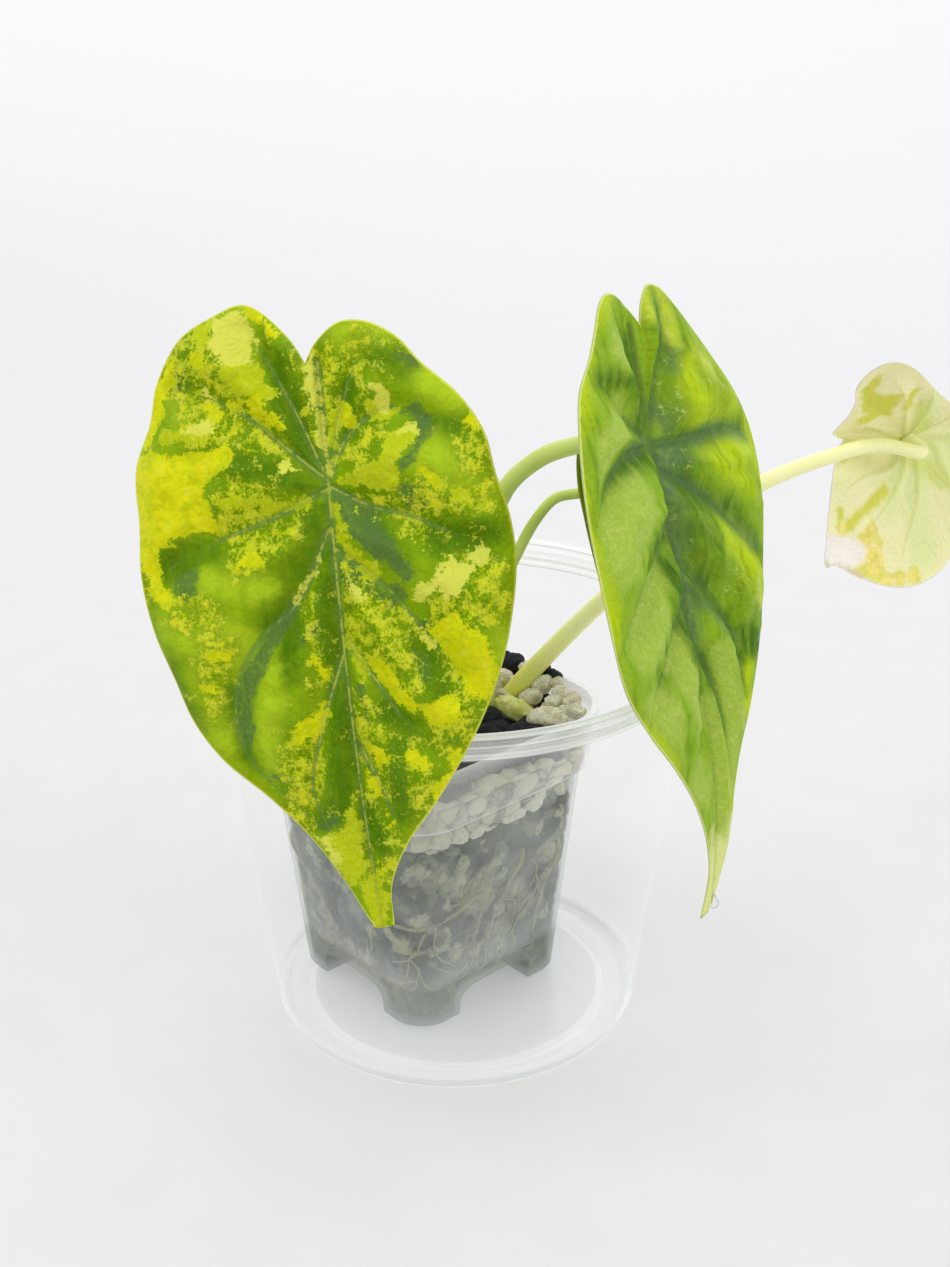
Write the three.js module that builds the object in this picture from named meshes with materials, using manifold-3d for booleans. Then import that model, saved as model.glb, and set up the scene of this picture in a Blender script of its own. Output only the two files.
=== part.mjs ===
// A potted variegated dragon scale alocasia, in millimetres, +Z up.
// A round clear cover cup holds a square clear nursery pot of pumice and lava mix,
// out of which a short rhizome sends four stems, each with one puckered leaf.

import * as THREE from 'three';
import { mergeVertices } from 'three/addons/utils/BufferGeometryUtils.js';
import Module from 'manifold-3d';

const wasm = await Module();
wasm.setup();

// Clearance kept between pieces that touch
const GAP = 0.3;

// Round cover cup: 118 mm across the lip, standing on a foot ring
const CUP = {
  lipRadius: 59, height: 98.9, wallTopRadius: 56.2, wallTopZ: 91.5, baseRadius: 44.4,
  wall: 0.8, floorZ: 2.7, footRadius: 41, panelRadius: 38, segments: 48,
};

// Square nursery pot: 67 mm across the rim, 49 mm across its four feet
const POT = {
  x: -6.7, y: 7.4, turn: 41.6, bottomZ: 3, topZ: 75.5,
  rimHalf: 33.6, collarHalf: 32.1, collarZ: 59.5, collarStep: 1.2, bodyHalf: 30.4, baseHalf: 24.4,
  rimCorner: 15.8, baseCorner: 8.5, wall: 0.9, archHalf: 12.2, archHeight: 7,
  drainRadius: 2.5, drainOffset: 8,
};

// Potting mix: a dark lava root zone, a pale pumice layer, and loose lava on top
const MIX = {
  splitZ: 52, topZ: 66, pebbleSpacing: 8.2, pebbleSize: 4.8, pebbleJitter: 3.4, bedDepth: 2,
  paleLeft: 2, paleFront: -3, paleBack: 24, paleDiagonal: 9,
};

// Rhizome, whose top carries the stems in shallow sockets, and its roots
const CROWN = { x: 8, y: 14, radius: 8, bottomZ: 48, topZ: 70 };
const ROOT_RADIUS = 0.9;
const STEM_SIDES = 8;
const STEM_STEPS = 15;

// Leaf blades, with ribs under the midrib and the main veins
const BLADE_THICKNESS = 0.9;
const MIDRIB_DEPTH = 1.1;
const VEIN_DEPTH = 0.5;
const VEIN_STEPS = 4;
const RINGS = [0, 0.1, 0.24, 0.42, 0.62, 0.82, 1];
const SPINE_STARTS = [0, 0, 0, 0.02, 0.13, 0.32, 0.53, 1];

function seededRandom(seed) {
  let state = seed;
  return () => {
    state = (state * 1664525 + 1013904223) % 4294967296;
    return state / 4294967296;
  };
}

function material(color, roughness, extra = {}) {
  return new THREE.MeshStandardMaterial({ color, roughness, metalness: 0, ...extra });
}

function toManifold(geometry) {
  const bare = geometry.clone();
  bare.deleteAttribute('normal');
  bare.deleteAttribute('uv');
  const welded = mergeVertices(bare, 1e-4);
  return new wasm.Manifold(new wasm.Mesh({
    numProp: 3,
    vertProperties: new Float32Array(welded.attributes.position.array),
    triVerts: new Uint32Array(welded.index.array),
  }));
}

function toGeometry(solid) {
  const mesh = solid.getMesh();
  const geometry = new THREE.BufferGeometry();
  geometry.setAttribute('position', new THREE.BufferAttribute(mesh.vertProperties, 3));
  geometry.setIndex(new THREE.BufferAttribute(mesh.triVerts, 1));
  return geometry;
}

function largestPiece(solid) {
  return solid.decompose().reduce((a, b) => (a.volume() > b.volume() ? a : b));
}

function curveThrough(points) {
  return new THREE.CatmullRomCurve3(points.map((p) => new THREE.Vector3(...p)), false, 'centripetal');
}

// Vertices shared by position, and no triangle with a repeated corner
class Skin {
  constructor() {
    this.positions = [];
    this.indices = [];
    this.known = new Map();
  }

  vertex(x, y, z) {
    const key = [x, y, z].map((n) => Math.round(n * 1e4)).join();
    if (!this.known.has(key)) {
      this.known.set(key, this.positions.length / 3);
      this.positions.push(x, y, z);
    }
    return this.known.get(key);
  }

  triangle(a, b, c) {
    if (a !== b && b !== c && c !== a) this.indices.push(a, b, c);
  }

  quad(a, b, c, d) {
    this.triangle(a, b, c);
    this.triangle(a, c, d);
  }

  geometry() {
    const geometry = new THREE.BufferGeometry();
    geometry.setAttribute('position', new THREE.Float32BufferAttribute(this.positions, 3));
    geometry.setIndex(this.indices);
    return geometry;
  }
}

// Closed skin through a stack of rings of equal count, bottom first, turning anticlockwise
function loftRings(rings) {
  const skin = new Skin();
  const ids = rings.map((ring) => ring.map((p) => skin.vertex(p.x, p.y, p.z)));
  const count = ids[0].length;
  for (let i = 0; i + 1 < ids.length; i += 1) {
    for (let k = 0; k < count; k += 1) {
      const next = (k + 1) % count;
      skin.quad(ids[i][k], ids[i][next], ids[i + 1][next], ids[i + 1][k]);
    }
  }
  for (const [ring, row, flip] of [[rings[0], ids[0], true], [rings.at(-1), ids.at(-1), false]]) {
    const middle = ring.reduce((sum, p) => sum.add(p), new THREE.Vector3()).divideScalar(count);
    const hub = skin.vertex(middle.x, middle.y, middle.z);
    for (let k = 0; k < count; k += 1) {
      const next = (k + 1) % count;
      if (flip) skin.triangle(hub, row[next], row[k]);
      else skin.triangle(hub, row[k], row[next]);
    }
  }
  return skin.geometry();
}

// Round stem along a curve, with a radius that changes from one end to the other,
// grown all over by extra
function taperedStem(curve, startRadius, endRadius, steps, sides, extra = 0) {
  const frames = curve.computeFrenetFrames(steps, false);
  const rings = [];
  for (let i = 0; i <= steps; i += 1) {
    const centre = curve.getPointAt(i / steps);
    if (i === 0) centre.addScaledVector(frames.tangents[i], -extra);
    if (i === steps) centre.addScaledVector(frames.tangents[i], extra);
    const radius = THREE.MathUtils.lerp(startRadius, endRadius, Math.sqrt(i / steps)) + extra;
    rings.push(Array.from({ length: sides }, (unused, k) => {
      const angle = (2 * Math.PI * k) / sides;
      return centre.clone()
        .addScaledVector(frames.normals[i], radius * Math.cos(angle))
        .addScaledVector(frames.binormals[i], radius * Math.sin(angle));
    }));
  }
  return loftRings(rings);
}

// Cover cup: one closed profile turned about the axis

function coverCup() {
  const { lipRadius: lip, height: top, wall, floorZ, footRadius, panelRadius } = CUP;
  const outside = [
    [0, floorZ - wall], [panelRadius, floorZ - wall], [footRadius - 1, 0], [CUP.baseRadius - 1.2, 0],
    [CUP.baseRadius, 1.2], [CUP.wallTopRadius, CUP.wallTopZ], [lip - 1.7, 92.4], [lip - 1.7, 93.7],
    [lip - 2.3, 94.3], [lip - 1.1, 94.9], [lip - 1.1, 95.5], [lip, 95.9], [lip, top - 0.6],
    [lip - 0.5, top],
  ];
  const inside = [
    [lip - 1.3, top], [lip - 1.9, top - 0.6], [lip - 3, 94.6], [CUP.wallTopRadius - wall, CUP.wallTopZ],
    [CUP.baseRadius - wall + 0.2, 3.4], [footRadius + 0.6, 1.4], [footRadius - 0.2, 1.4],
    [panelRadius + 0.6, floorZ], [0, floorZ],
  ];
  const profile = [...outside, ...inside].map(([r, z]) => new THREE.Vector2(r, z));
  return new THREE.LatheGeometry(profile, CUP.segments).rotateX(Math.PI / 2);
}

// Nursery pot, in its own frame: square with round corners, and an arch through each side

function potRing(half, corner, z) {
  const points = [];
  const arcSteps = 5;
  for (let side = 0; side < 4; side += 1) {
    const turn = (side * Math.PI) / 2;
    for (let i = 0; i <= arcSteps; i += 1) {
      const angle = (i / arcSteps) * (Math.PI / 2);
      const x = half - corner + corner * Math.cos(angle);
      const y = half - corner + corner * Math.sin(angle);
      points.push(new THREE.Vector3(
        x * Math.cos(turn) - y * Math.sin(turn), x * Math.sin(turn) + y * Math.cos(turn), z));
    }
  }
  return points;
}

function cornerAt(half) {
  const share = (half - POT.baseHalf) / (POT.rimHalf - POT.baseHalf);
  return THREE.MathUtils.lerp(POT.baseCorner, POT.rimCorner, share);
}

function bodyHalfAt(z) {
  const share = (z - POT.bottomZ) / (POT.collarZ - POT.bottomZ);
  return THREE.MathUtils.lerp(POT.baseHalf, POT.bodyHalf, share);
}

// The pot's form moved inwards by inset, from lowZ to highZ
function potForm(inset, lowZ, highZ) {
  const { collarZ, topZ, bodyHalf, collarHalf, rimHalf, collarStep } = POT;
  const stations = [[lowZ, bodyHalfAt(lowZ)]];
  if (highZ > collarZ) {
    const shiftZ = -0.6 * inset;
    const highHalf = THREE.MathUtils.mapLinear(highZ, collarZ, topZ, collarHalf, rimHalf);
    stations.push([collarZ + shiftZ, bodyHalf], [collarZ + collarStep + shiftZ, collarHalf]);
    stations.push([highZ, highHalf]);
  } else {
    stations.push([highZ, bodyHalfAt(highZ)]);
  }
  const rings = stations.map(([z, half]) => potRing(half - inset, cornerAt(half) - inset, z));
  return toManifold(loftRings(rings));
}

// Two crossing channels that part the feet, made larger by grow
function footChannels(grow) {
  const low = POT.bottomZ - 5;
  const half = POT.archHalf + grow;
  const top = POT.bottomZ + POT.archHeight + grow;
  const arch = new THREE.Shape([
    [-half, low], [half, low], [half, top - 3.2], [half - 2.6, top - 0.9], [half - 7, top],
    [7 - half, top], [2.6 - half, top - 0.9], [-half, top - 3.2],
  ].map(([x, z]) => new THREE.Vector2(x, z)));
  const length = 80;
  const along = new THREE.ExtrudeGeometry(arch, { depth: length, bevelEnabled: false });
  along.translate(0, 0, -length / 2).rotateX(Math.PI / 2);
  const across = along.clone().rotateZ(Math.PI / 2);
  return toManifold(along).add(toManifold(across));
}

function drainHoles() {
  const offsets = [[-1, -1], [1, -1], [1, 1], [-1, 1]];
  return offsets.map(([sx, sy]) => {
    const hole = new THREE.CylinderGeometry(POT.drainRadius, POT.drainRadius, 12, 10);
    hole.rotateX(Math.PI / 2);
    hole.translate(sx * POT.drainOffset, sy * POT.drainOffset, POT.bottomZ + POT.archHeight);
    return toManifold(hole);
  }).reduce((a, b) => a.add(b));
}

function nurseryPot() {
  const rimLip = toManifold(loftRings([
    potRing(POT.rimHalf - 0.4, cornerAt(POT.rimHalf) - 0.4, POT.topZ - 2.2),
    potRing(POT.rimHalf + 0.7, cornerAt(POT.rimHalf) + 0.7, POT.topZ - 1.4),
    potRing(POT.rimHalf + 0.7, cornerAt(POT.rimHalf) + 0.7, POT.topZ),
  ]));
  const outer = potForm(0, POT.bottomZ, POT.topZ).add(rimLip).subtract(footChannels(0));
  const inner = potForm(POT.wall, POT.bottomZ + POT.wall, POT.topZ + 2).subtract(footChannels(POT.wall));
  return outer.subtract(inner).subtract(drainHoles());
}

// Moves a solid from the pot's frame to where the pot stands in the cup
function placeInCup(solid) {
  return solid.rotate([0, 0, POT.turn]).translate([POT.x, POT.y, 0]);
}

// Potting mix, with seeded pebbles sunk into its layers

function mixForm(lowZ, highZ) {
  const inset = POT.wall + GAP;
  return potForm(inset, lowZ, highZ).subtract(footChannels(inset));
}

// One lumpy pebble with twenty faces, grown by extra
function pebble(random, x, y, z, size, extra) {
  const stone = new THREE.IcosahedronGeometry(size + extra, 0);
  stone.rotateX(random() * Math.PI).rotateY(random() * Math.PI);
  stone.scale(0.8 + 0.4 * random(), 0.8 + 0.4 * random(), 0.62 + 0.2 * random());
  stone.rotateZ(random() * Math.PI).translate(x, y, z);
  return toManifold(stone);
}

// Pale stones lie to the right and in the middle, lava in front, at the left and behind
function isPale(x, y) {
  return x > MIX.paleLeft && y > MIX.paleFront && y < MIX.paleBack && x + y > MIX.paleDiagonal;
}

// Pebbles on a jittered grid over the mix, of one colour, each grown by extra
function pebbles(pale, z, extra) {
  const random = seededRandom(7);
  const turn = new THREE.Matrix4().makeRotationZ(THREE.MathUtils.degToRad(POT.turn));
  const reach = POT.collarHalf - POT.wall - GAP - 0.72 * MIX.pebbleSize;
  const found = [];
  const count = Math.ceil(reach / MIX.pebbleSpacing);
  for (let i = -count; i <= count; i += 1) {
    for (let j = -count; j <= count; j += 1) {
      const jitter = [random() - 0.5, random() - 0.5, random(), random() * 1e6];
      const spot = new THREE.Vector3(i, j, 0).multiplyScalar(MIX.pebbleSpacing);
      spot.x += MIX.pebbleJitter * jitter[0];
      spot.y += MIX.pebbleJitter * jitter[1];
      const corner = Math.max(0, Math.abs(spot.x) + Math.abs(spot.y) - 1.5 * reach);
      if (Math.max(Math.abs(spot.x), Math.abs(spot.y)) + corner > reach) continue;
      spot.applyMatrix4(turn).add(new THREE.Vector3(POT.x, POT.y, 0));
      if (isPale(spot.x, spot.y) !== pale) continue;
      const size = MIX.pebbleSize * (0.85 + 0.3 * jitter[2]);
      found.push(pebble(seededRandom(jitter[3]), spot.x, spot.y, z + 0.25 * size, size, extra));
    }
  }
  return found.reduce((a, b) => a.add(b));
}

// Thin bed of lava that carries the loose stones
function lavaBed() {
  const z = MIX.topZ + GAP;
  return placeInCup(mixForm(z, z + MIX.bedDepth));
}

// Block over the area of pale stones
function paleBlock() {
  const { paleLeft: left, paleFront: front, paleBack: back, paleDiagonal: sum } = MIX;
  const far = 60;
  const corners = [[left, sum - left], [sum - front, front], [far, front], [far, back], [left, back]];
  const shape = new THREE.Shape(corners.map(([x, y]) => new THREE.Vector2(x, y)));
  const block = new THREE.ExtrudeGeometry(shape, { depth: 4 * MIX.bedDepth, bevelEnabled: false });
  return toManifold(block.translate(0, 0, MIX.topZ));
}

// Rhizome with its main roots

// Each root dives from the crown and then follows the inside of the pot's wall, through
// places given as a bearing in the pot's frame, in degrees, and a height
const ROOTS = [
  [[284, 42], [277, 35], [268, 28], [263, 19]],
  [[262, 37], [250, 35], [238, 33], [225, 31.5], [212, 31], [201, 27], [197, 19]],
  [[306, 40], [301, 30], [297, 19]],
  [[62, 40], [72, 29], [80, 18]],
  [[140, 40], [152, 30], [165, 19]],
];

// Point just inside the mix's side, straight out from the pot's axis
function sideSpot(bearing, z) {
  const inset = POT.wall + GAP + 0.5 * ROOT_RADIUS;
  const half = bodyHalfAt(z) - inset;
  const corner = cornerAt(bodyHalfAt(z)) - inset;
  const angle = THREE.MathUtils.degToRad(bearing);
  const shares = [Math.abs(Math.cos(angle)), Math.abs(Math.sin(angle))];
  const [low, high] = shares.sort((a, b) => a - b);
  let reach = half / high;
  if (reach * low > half - corner) {
    const along = (half - corner) * (low + high);
    reach = along + Math.sqrt(along * along - 2 * (half - corner) ** 2 + corner * corner);
  }
  const turned = angle + THREE.MathUtils.degToRad(POT.turn);
  return new THREE.Vector3(POT.x + reach * Math.cos(turned), POT.y + reach * Math.sin(turned), z);
}

function rootCurve(places) {
  const start = new THREE.Vector3(CROWN.x, CROWN.y, CROWN.bottomZ + 10);
  const spots = places.map(([bearing, z]) => sideSpot(bearing, z));
  const dive = start.clone().lerp(spots[0], 0.5).add(new THREE.Vector3(0, 0, -3));
  return new THREE.CatmullRomCurve3([start, dive, ...spots], false, 'centripetal');
}

function rhizomeBody(extra) {
  const { x, y, radius, bottomZ, topZ } = CROWN;
  const profile = [
    [0, bottomZ - extra], [0.55 * radius + extra, bottomZ + 1], [0.8 * radius + extra, bottomZ + 6],
    [radius + extra, topZ - 6], [0.92 * radius + extra, topZ - 1 + extra], [0.6 * radius, topZ + extra],
    [0, topZ + extra],
  ].map(([r, z]) => new THREE.Vector2(r, z));
  const body = new THREE.LatheGeometry(profile, 12).rotateX(Math.PI / 2).translate(x, y, 0);
  const roots = ROOTS.map((places) => toManifold(
    taperedStem(rootCurve(places), ROOT_RADIUS + 0.5, ROOT_RADIUS, 10, 6, extra)));
  return roots.reduce((solid, root) => solid.add(root), toManifold(body));
}

// Leaves. A blade is drawn in its own frame, with its stem's end at the origin: x goes to
// the right across the upper face, y from the tip to the lobes, and z out of that face.
// Each side's margin runs from the notch to the tip, and "veins" names the margin points
// where a main vein ends. The surface is folded along the midrib, arched from lobes to tip,
// and puffed up between the veins.

const LEAVES = {
  front: {
    place: [-23.1, -50, 149.8], facing: -10, lean: 15.5, spin: 8,
    left: [[-2.5, 23.5], [-5.5, 29], [-13, 35.7], [-20, 34], [-27, 30.3], [-32.5, 22], [-34.5, 15],
      [-38.4, 6], [-38.7, -5], [-39.2, -15], [-37.5, -26], [-34.2, -36], [-31.5, -44.5], [-26.5, -53],
      [-18.5, -61.5], [-11.5, -70.5], [-5.5, -81], [-1.5, -91]],
    right: [[-2.5, 23.5], [0, 27.2], [5, 30.6], [10, 30.4], [16, 27], [20.5, 21.5], [27.5, 14.5],
      [31.8, 7], [33.4, -1], [35.5, -9], [36, -18], [34, -29], [30.5, -39.5], [24.5, -51],
      [15.8, -63.5], [8, -73], [3.4, -82], [2.5, -90.5]],
    leftVeins: [0, 2.4, 5.5, 9, 12.4, 14.6, 16, 17],
    rightVeins: [0, 3, 6.6, 9.4, 12, 13.7, 15.4, 17],
    arch: [[-92, -6], [-60, 0], [-30, 1.5], [0, 0], [36, -3]], fold: 0.12, cup: -0.002,
    puff: 2.3, wave: 0.7, colour: 0x8cb51c,
  },
  right: {
    place: [39.7, -40, 154.6], facing: 58, lean: 10, spin: -1.5,
    left: [[4.2, 22.8], [1, 26.5], [-3, 29.6], [-8, 30.7], [-12, 29], [-15.5, 25], [-20, 20.4],
      [-26.5, 15.3], [-30, 7.5], [-32.7, -3], [-34, -16], [-34.2, -30], [-33.2, -41], [-26.8, -52],
      [-18.8, -62], [-11, -73.5], [-5.2, -85.5], [-1.8, -95], [-1.4, -103]],
    right: [[4.2, 22.8], [6, 27], [9, 29.7], [13, 28.5], [17, 24.8], [23, 18], [29.3, 10.4], [35, 2.8],
      [38.4, -5], [39, -14], [37, -24], [32.5, -35], [28, -44.5], [22.6, -54], [17, -62.5],
      [10.8, -69.5], [5.4, -78], [3.2, -89], [2.6, -103.5]],
    leftVeins: [0, 3, 6.6, 9.3, 11.6, 13.6, 15.6, 18],
    rightVeins: [0, 2.6, 7.2, 10.6, 13, 15.2, 16.6, 18],
    arch: [[-104, 2.2], [-80, 6], [-60, 6], [-30, 3], [0, 0], [32, -2.5]], fold: 0.14, cup: -0.0012,
    puff: 2.6, wave: 0.5, colour: 0x6f9e1c,
  },
  far_right: {
    place: [113.3, 50, 126.9], facing: -159, lean: 12, spin: -84,
    left: [[0, 18.6], [-2.5, 23.5], [-4.7, 23.4], [-8.7, 22.5], [-13.1, 23.3], [-17.5, 25.9],
      [-21.3, 27], [-25, 26.6], [-27.4, 25.3], [-28.3, 23], [-27.5, 19.1], [-24.5, 13.2],
      [-19.3, 5.4], [-15.2, -0.8], [-12.6, -5.3], [-10.6, -10.5], [-9, -17], [-7.4, -25], [-5.4, -34],
      [-3, -42.5], [0, -50]],
    right: [[0, 18.6], [1.4, 19.5], [3.2, 20], [6, 20.9], [10.9, 21.8], [16.3, 22.7], [21.8, 23.6],
      [26.2, 24.2], [27.6, 23.6], [27.4, 21.8], [28.6, 18.4], [30.7, 14.4], [32, 10.7],
      [33.6, 3.5], [33.5, -2.6], [30.8, -10.2], [27.3, -14.7], [21, -21.5], [14.5, -29],
      [8.5, -37], [3.6, -44.5], [0, -50]],
    leftVeins: [0, 5, 9, 12, 14.5, 16.5, 18.5, 20],
    rightVeins: [0, 5, 8, 11, 13.5, 16, 18.5, 21],
    arch: [[-52, -5], [-30, -1], [0, 0], [26, -1]], fold: -0.5, cup: 0, puff: 1.4, wave: 0.9,
    colour: 0xd6cf6a,
  },
  hidden: {
    place: [38.9, 5, 128.5], facing: 55, lean: 8, spin: 0,
    left: [[0, 13], [-3, 17], [-8, 20], [-13, 19], [-17.5, 15], [-20, 7.5], [-19.4, 0], [-17.2, -9.5],
      [-14, -18], [-10, -27], [-6, -35], [-2.5, -41.5], [0, -46]],
    right: [[0, 13], [3, 17], [8, 20], [13, 19], [17.5, 15], [20, 7.5], [19.4, 0], [17.2, -9.5],
      [14, -18], [10, -27], [6, -35], [2.5, -41.5], [0, -46]],
    leftVeins: [0, 2, 4.2, 6.2, 7.8, 9.4, 10.8, 12],
    rightVeins: [0, 2, 4.2, 6.2, 7.8, 9.4, 10.8, 12],
    arch: [[-48, -2.5], [0, 0], [20, -1]], fold: 0.1, cup: 0, puff: 1.2, wave: 0.3,
    colour: 0x4f8a1e,
  },
};

// Value at x on a smooth line through [x, value] points
function smoothThrough(points, x) {
  const last = points.length - 1;
  const at = points.findIndex(([px]) => px >= x);
  const i = at < 0 ? last : Math.max(1, at);
  const [x0, y0] = points[i - 1];
  const [x1, y1] = points[i];
  const slope = (k) => {
    const a = points[Math.max(0, k - 1)];
    const b = points[Math.min(last, k + 1)];
    return (b[1] - a[1]) / (b[0] - a[0]);
  };
  const t = (x - x0) / (x1 - x0);
  if (t < 0) return y0 + slope(0) * (x - x0);
  if (t > 1) return y1 + slope(last) * (x - x1);
  const h = x1 - x0;
  return (1 + 2 * t) * (1 - t) ** 2 * y0 + t * (1 - t) ** 2 * h * slope(i - 1)
    + t * t * (3 - 2 * t) * y1 + t * t * (t - 1) * h * slope(i);
}

// Margin point of one side at a vein coordinate, where whole numbers are veins
function marginPoint(curve, points, veins, t) {
  const i = Math.min(Math.floor(t), veins.length - 2);
  const index = THREE.MathUtils.lerp(veins[i], veins[i + 1], t - i);
  return curve.getPoint(index / (points.length - 1));
}

// Where the spoke at a vein coordinate leaves the midrib
function spinePoint(tipY, t) {
  const i = Math.min(Math.floor(t), SPINE_STARTS.length - 2);
  const share = THREE.MathUtils.lerp(SPINE_STARTS[i], SPINE_STARTS[i + 1], t - i);
  return new THREE.Vector3(0, tipY * share, 0);
}

// Height of the upper face, with t the vein coordinate and r the share of the way out
function surfaceHeight(leaf, x, y, t, r) {
  const between = Math.sin(Math.PI * (t % 1)) ** 0.7 || 0;
  const outward = Math.sin(Math.PI * Math.min(1, r) ** 0.85);
  const nearTip = THREE.MathUtils.smoothstep(y, -92, -50);
  const puff = leaf.puff * between * outward * (0.35 + 0.65 * nearTip);
  const wave = leaf.wave * r ** 3 * Math.sin(2.3 * t + 0.6 * THREE.MathUtils.clamp(x / 4, -1, 1));
  return smoothThrough(leaf.arch, y) + leaf.fold * Math.abs(x) + leaf.cup * x * x + puff + wave;
}

// Raised ribs on the underside, under the midrib and the main veins
function ribDepth(t, r) {
  const onVein = t % 1 === 0 ? VEIN_DEPTH * (1 - r) : 0;
  return r === 0 ? MIDRIB_DEPTH : onVein;
}

// Rows of points along the spokes of one half blade, from the midrib out to the margin
function bladeGrid(leaf, side) {
  const points = leaf[side];
  const veins = leaf[`${side}Veins`];
  const curve = curveThrough(points.map(([x, y]) => [x, y, 0]));
  const tipY = leaf.left.at(-1)[1];
  const spokes = (veins.length - 1) * VEIN_STEPS;
  return Array.from({ length: spokes + 1 }, (unused, j) => {
    const t = j / VEIN_STEPS;
    const start = spinePoint(tipY, t);
    const end = marginPoint(curve, points, veins, t);
    const swing = THREE.MathUtils.smoothstep(t, 2, 4);
    const bend = new THREE.Vector3(
      THREE.MathUtils.lerp(start.x, end.x, 0.5 + 0.12 * swing),
      THREE.MathUtils.lerp(start.y, end.y, 0.5 - 0.17 * swing), 0);
    const spoke = new THREE.QuadraticBezierCurve3(start, bend, end);
    const pointed = start.distanceTo(end) < 0.1;
    return RINGS.map((share) => {
      const r = pointed ? 1 : share;
      const p = pointed ? end : spoke.getPoint(r);
      const seam = t === 0 || r === 0;
      const z = surfaceHeight(leaf, p.x, p.y, seam ? 0 : t, r);
      const half = BLADE_THICKNESS / 2;
      return { x: p.x, y: p.y, top: z + half, low: z - half - ribDepth(t, r) };
    });
  });
}

// Closed blade from both halves, which meet along the midrib
function leafBlade(leaf) {
  const skin = new Skin();
  for (const side of ['left', 'right']) {
    const grid = bladeGrid(leaf, side);
    const top = grid.map((row) => row.map((p) => skin.vertex(p.x, p.y, p.top)));
    const low = grid.map((row) => row.map((p) => skin.vertex(p.x, p.y, p.low)));
    const quad = (...corners) => skin.quad(...(side === 'right' ? corners.reverse() : corners));
    const rim = RINGS.length - 1;
    for (let j = 0; j + 1 < grid.length; j += 1) {
      for (let k = 0; k < rim; k += 1) {
        quad(top[j][k], top[j][k + 1], top[j + 1][k + 1], top[j + 1][k]);
        quad(low[j + 1][k], low[j + 1][k + 1], low[j][k + 1], low[j][k]);
      }
      quad(top[j][rim], low[j][rim], low[j + 1][rim], top[j + 1][rim]);
    }
    const last = grid.length - 1;
    for (let k = 0; k < rim; k += 1) {
      quad(top[last][k], top[last][k + 1], low[last][k + 1], low[last][k]);
    }
  }
  return skin.geometry();
}

// Turns the leaf's frame so that its face looks towards facing and lean, in degrees,
// where facing 0 looks to the front and the tip hangs down, spun by spin in the blade
function leafPlacement(leaf) {
  const facing = THREE.MathUtils.degToRad(leaf.facing);
  const lean = THREE.MathUtils.degToRad(leaf.lean);
  const spin = THREE.MathUtils.degToRad(leaf.spin);
  const out = new THREE.Vector3(
    Math.sin(facing) * Math.cos(lean), -Math.cos(facing) * Math.cos(lean), Math.sin(lean));
  const hang = new THREE.Vector3(0, 0, -1).addScaledVector(out, Math.sin(lean)).normalize();
  const across = new THREE.Vector3().crossVectors(out, hang);
  const down = hang.clone().multiplyScalar(Math.cos(spin)).addScaledVector(across, Math.sin(spin));
  const right = new THREE.Vector3().crossVectors(out, down);
  return new THREE.Matrix4().makeBasis(right, down.clone().negate(), out).setPosition(...leaf.place);
}

// Stems: from a socket in the rhizome to just behind the blade that each carries

const STEMS = {
  front: {
    leaf: 'front', radii: [2.5, 1.7],
    path: [[4.2, 10.5, 67.4], [3, 9.5, 82], [-2, 2, 108], [-9, -14, 132], [-17, -33, 146]],
  },
  right: {
    leaf: 'right', radii: [2.6, 1.9],
    path: [[5.4, 17.6, 67.4], [5.6, 17, 82], [8, 12.5, 112], [12.3, 5, 129.1], [19.8, -4, 139.6],
      [27.5, -15, 146.1], [31.5, -26, 150.5]],
  },
  far_right: {
    leaf: 'far_right', radii: [2.7, 1.7],
    path: [[11.6, 16.2, 67.6], [14.6, 16.9, 72.6], [36.4, 21.5, 95], [54.8, 26, 108.9],
      [73.4, 30, 121], [91.2, 35, 126.6], [104, 39.5, 128.2]],
  },
  hidden: {
    leaf: 'hidden', radii: [1.7, 1.2],
    path: [[10.4, 10, 67.4], [11, 10, 82], [12.6, 10, 102], [15.8, 10, 112.5], [20, 10, 120.8],
      [24.2, 10, 125.4], [29.4, 10, 126.5]],
  },
};
const STEM_STRAIGHT_END = 8;
const JOIN_DEPTH = BLADE_THICKNESS / 2 + MIDRIB_DEPTH + GAP;

function stemCurve(stem) {
  const placement = leafPlacement(LEAVES[stem.leaf]);
  const depths = [STEM_STRAIGHT_END, JOIN_DEPTH + 0.35];
  const ends = depths.map((depth) => new THREE.Vector3(0, 0, -depth).applyMatrix4(placement));
  return curveThrough([...stem.path, ...ends.map((p) => p.toArray())]);
}

function stemSolid(stem, extra) {
  return taperedStem(stemCurve(stem), stem.radii[0], stem.radii[1], STEM_STEPS, STEM_SIDES, extra);
}

// Assembly

const group = new THREE.Group();

function addPiece(name, geometry, surface) {
  const mesh = new THREE.Mesh(geometry, surface);
  mesh.name = name;
  group.add(mesh);
  return mesh;
}

const clearPlastic = { transparent: true, opacity: 0.3 };
addPiece('cover_cup', coverCup(), material(0xf2f4f4, 0.08, clearPlastic));
const potPlastic = material(0xd9dfe0, 0.35, clearPlastic);
addPiece('nursery_pot', toGeometry(placeInCup(nurseryPot())), potPlastic);

const stemHoles = Object.values(STEMS)
  .map((stem) => toManifold(stemSolid(stem, GAP)))
  .reduce((a, b) => a.add(b));
const rhizome = rhizomeBody(0)
  .subtract(stemHoles)
  .intersect(placeInCup(mixForm(POT.bottomZ + 1, POT.topZ)));
const plantHoles = rhizomeBody(GAP).add(stemHoles);

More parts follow.
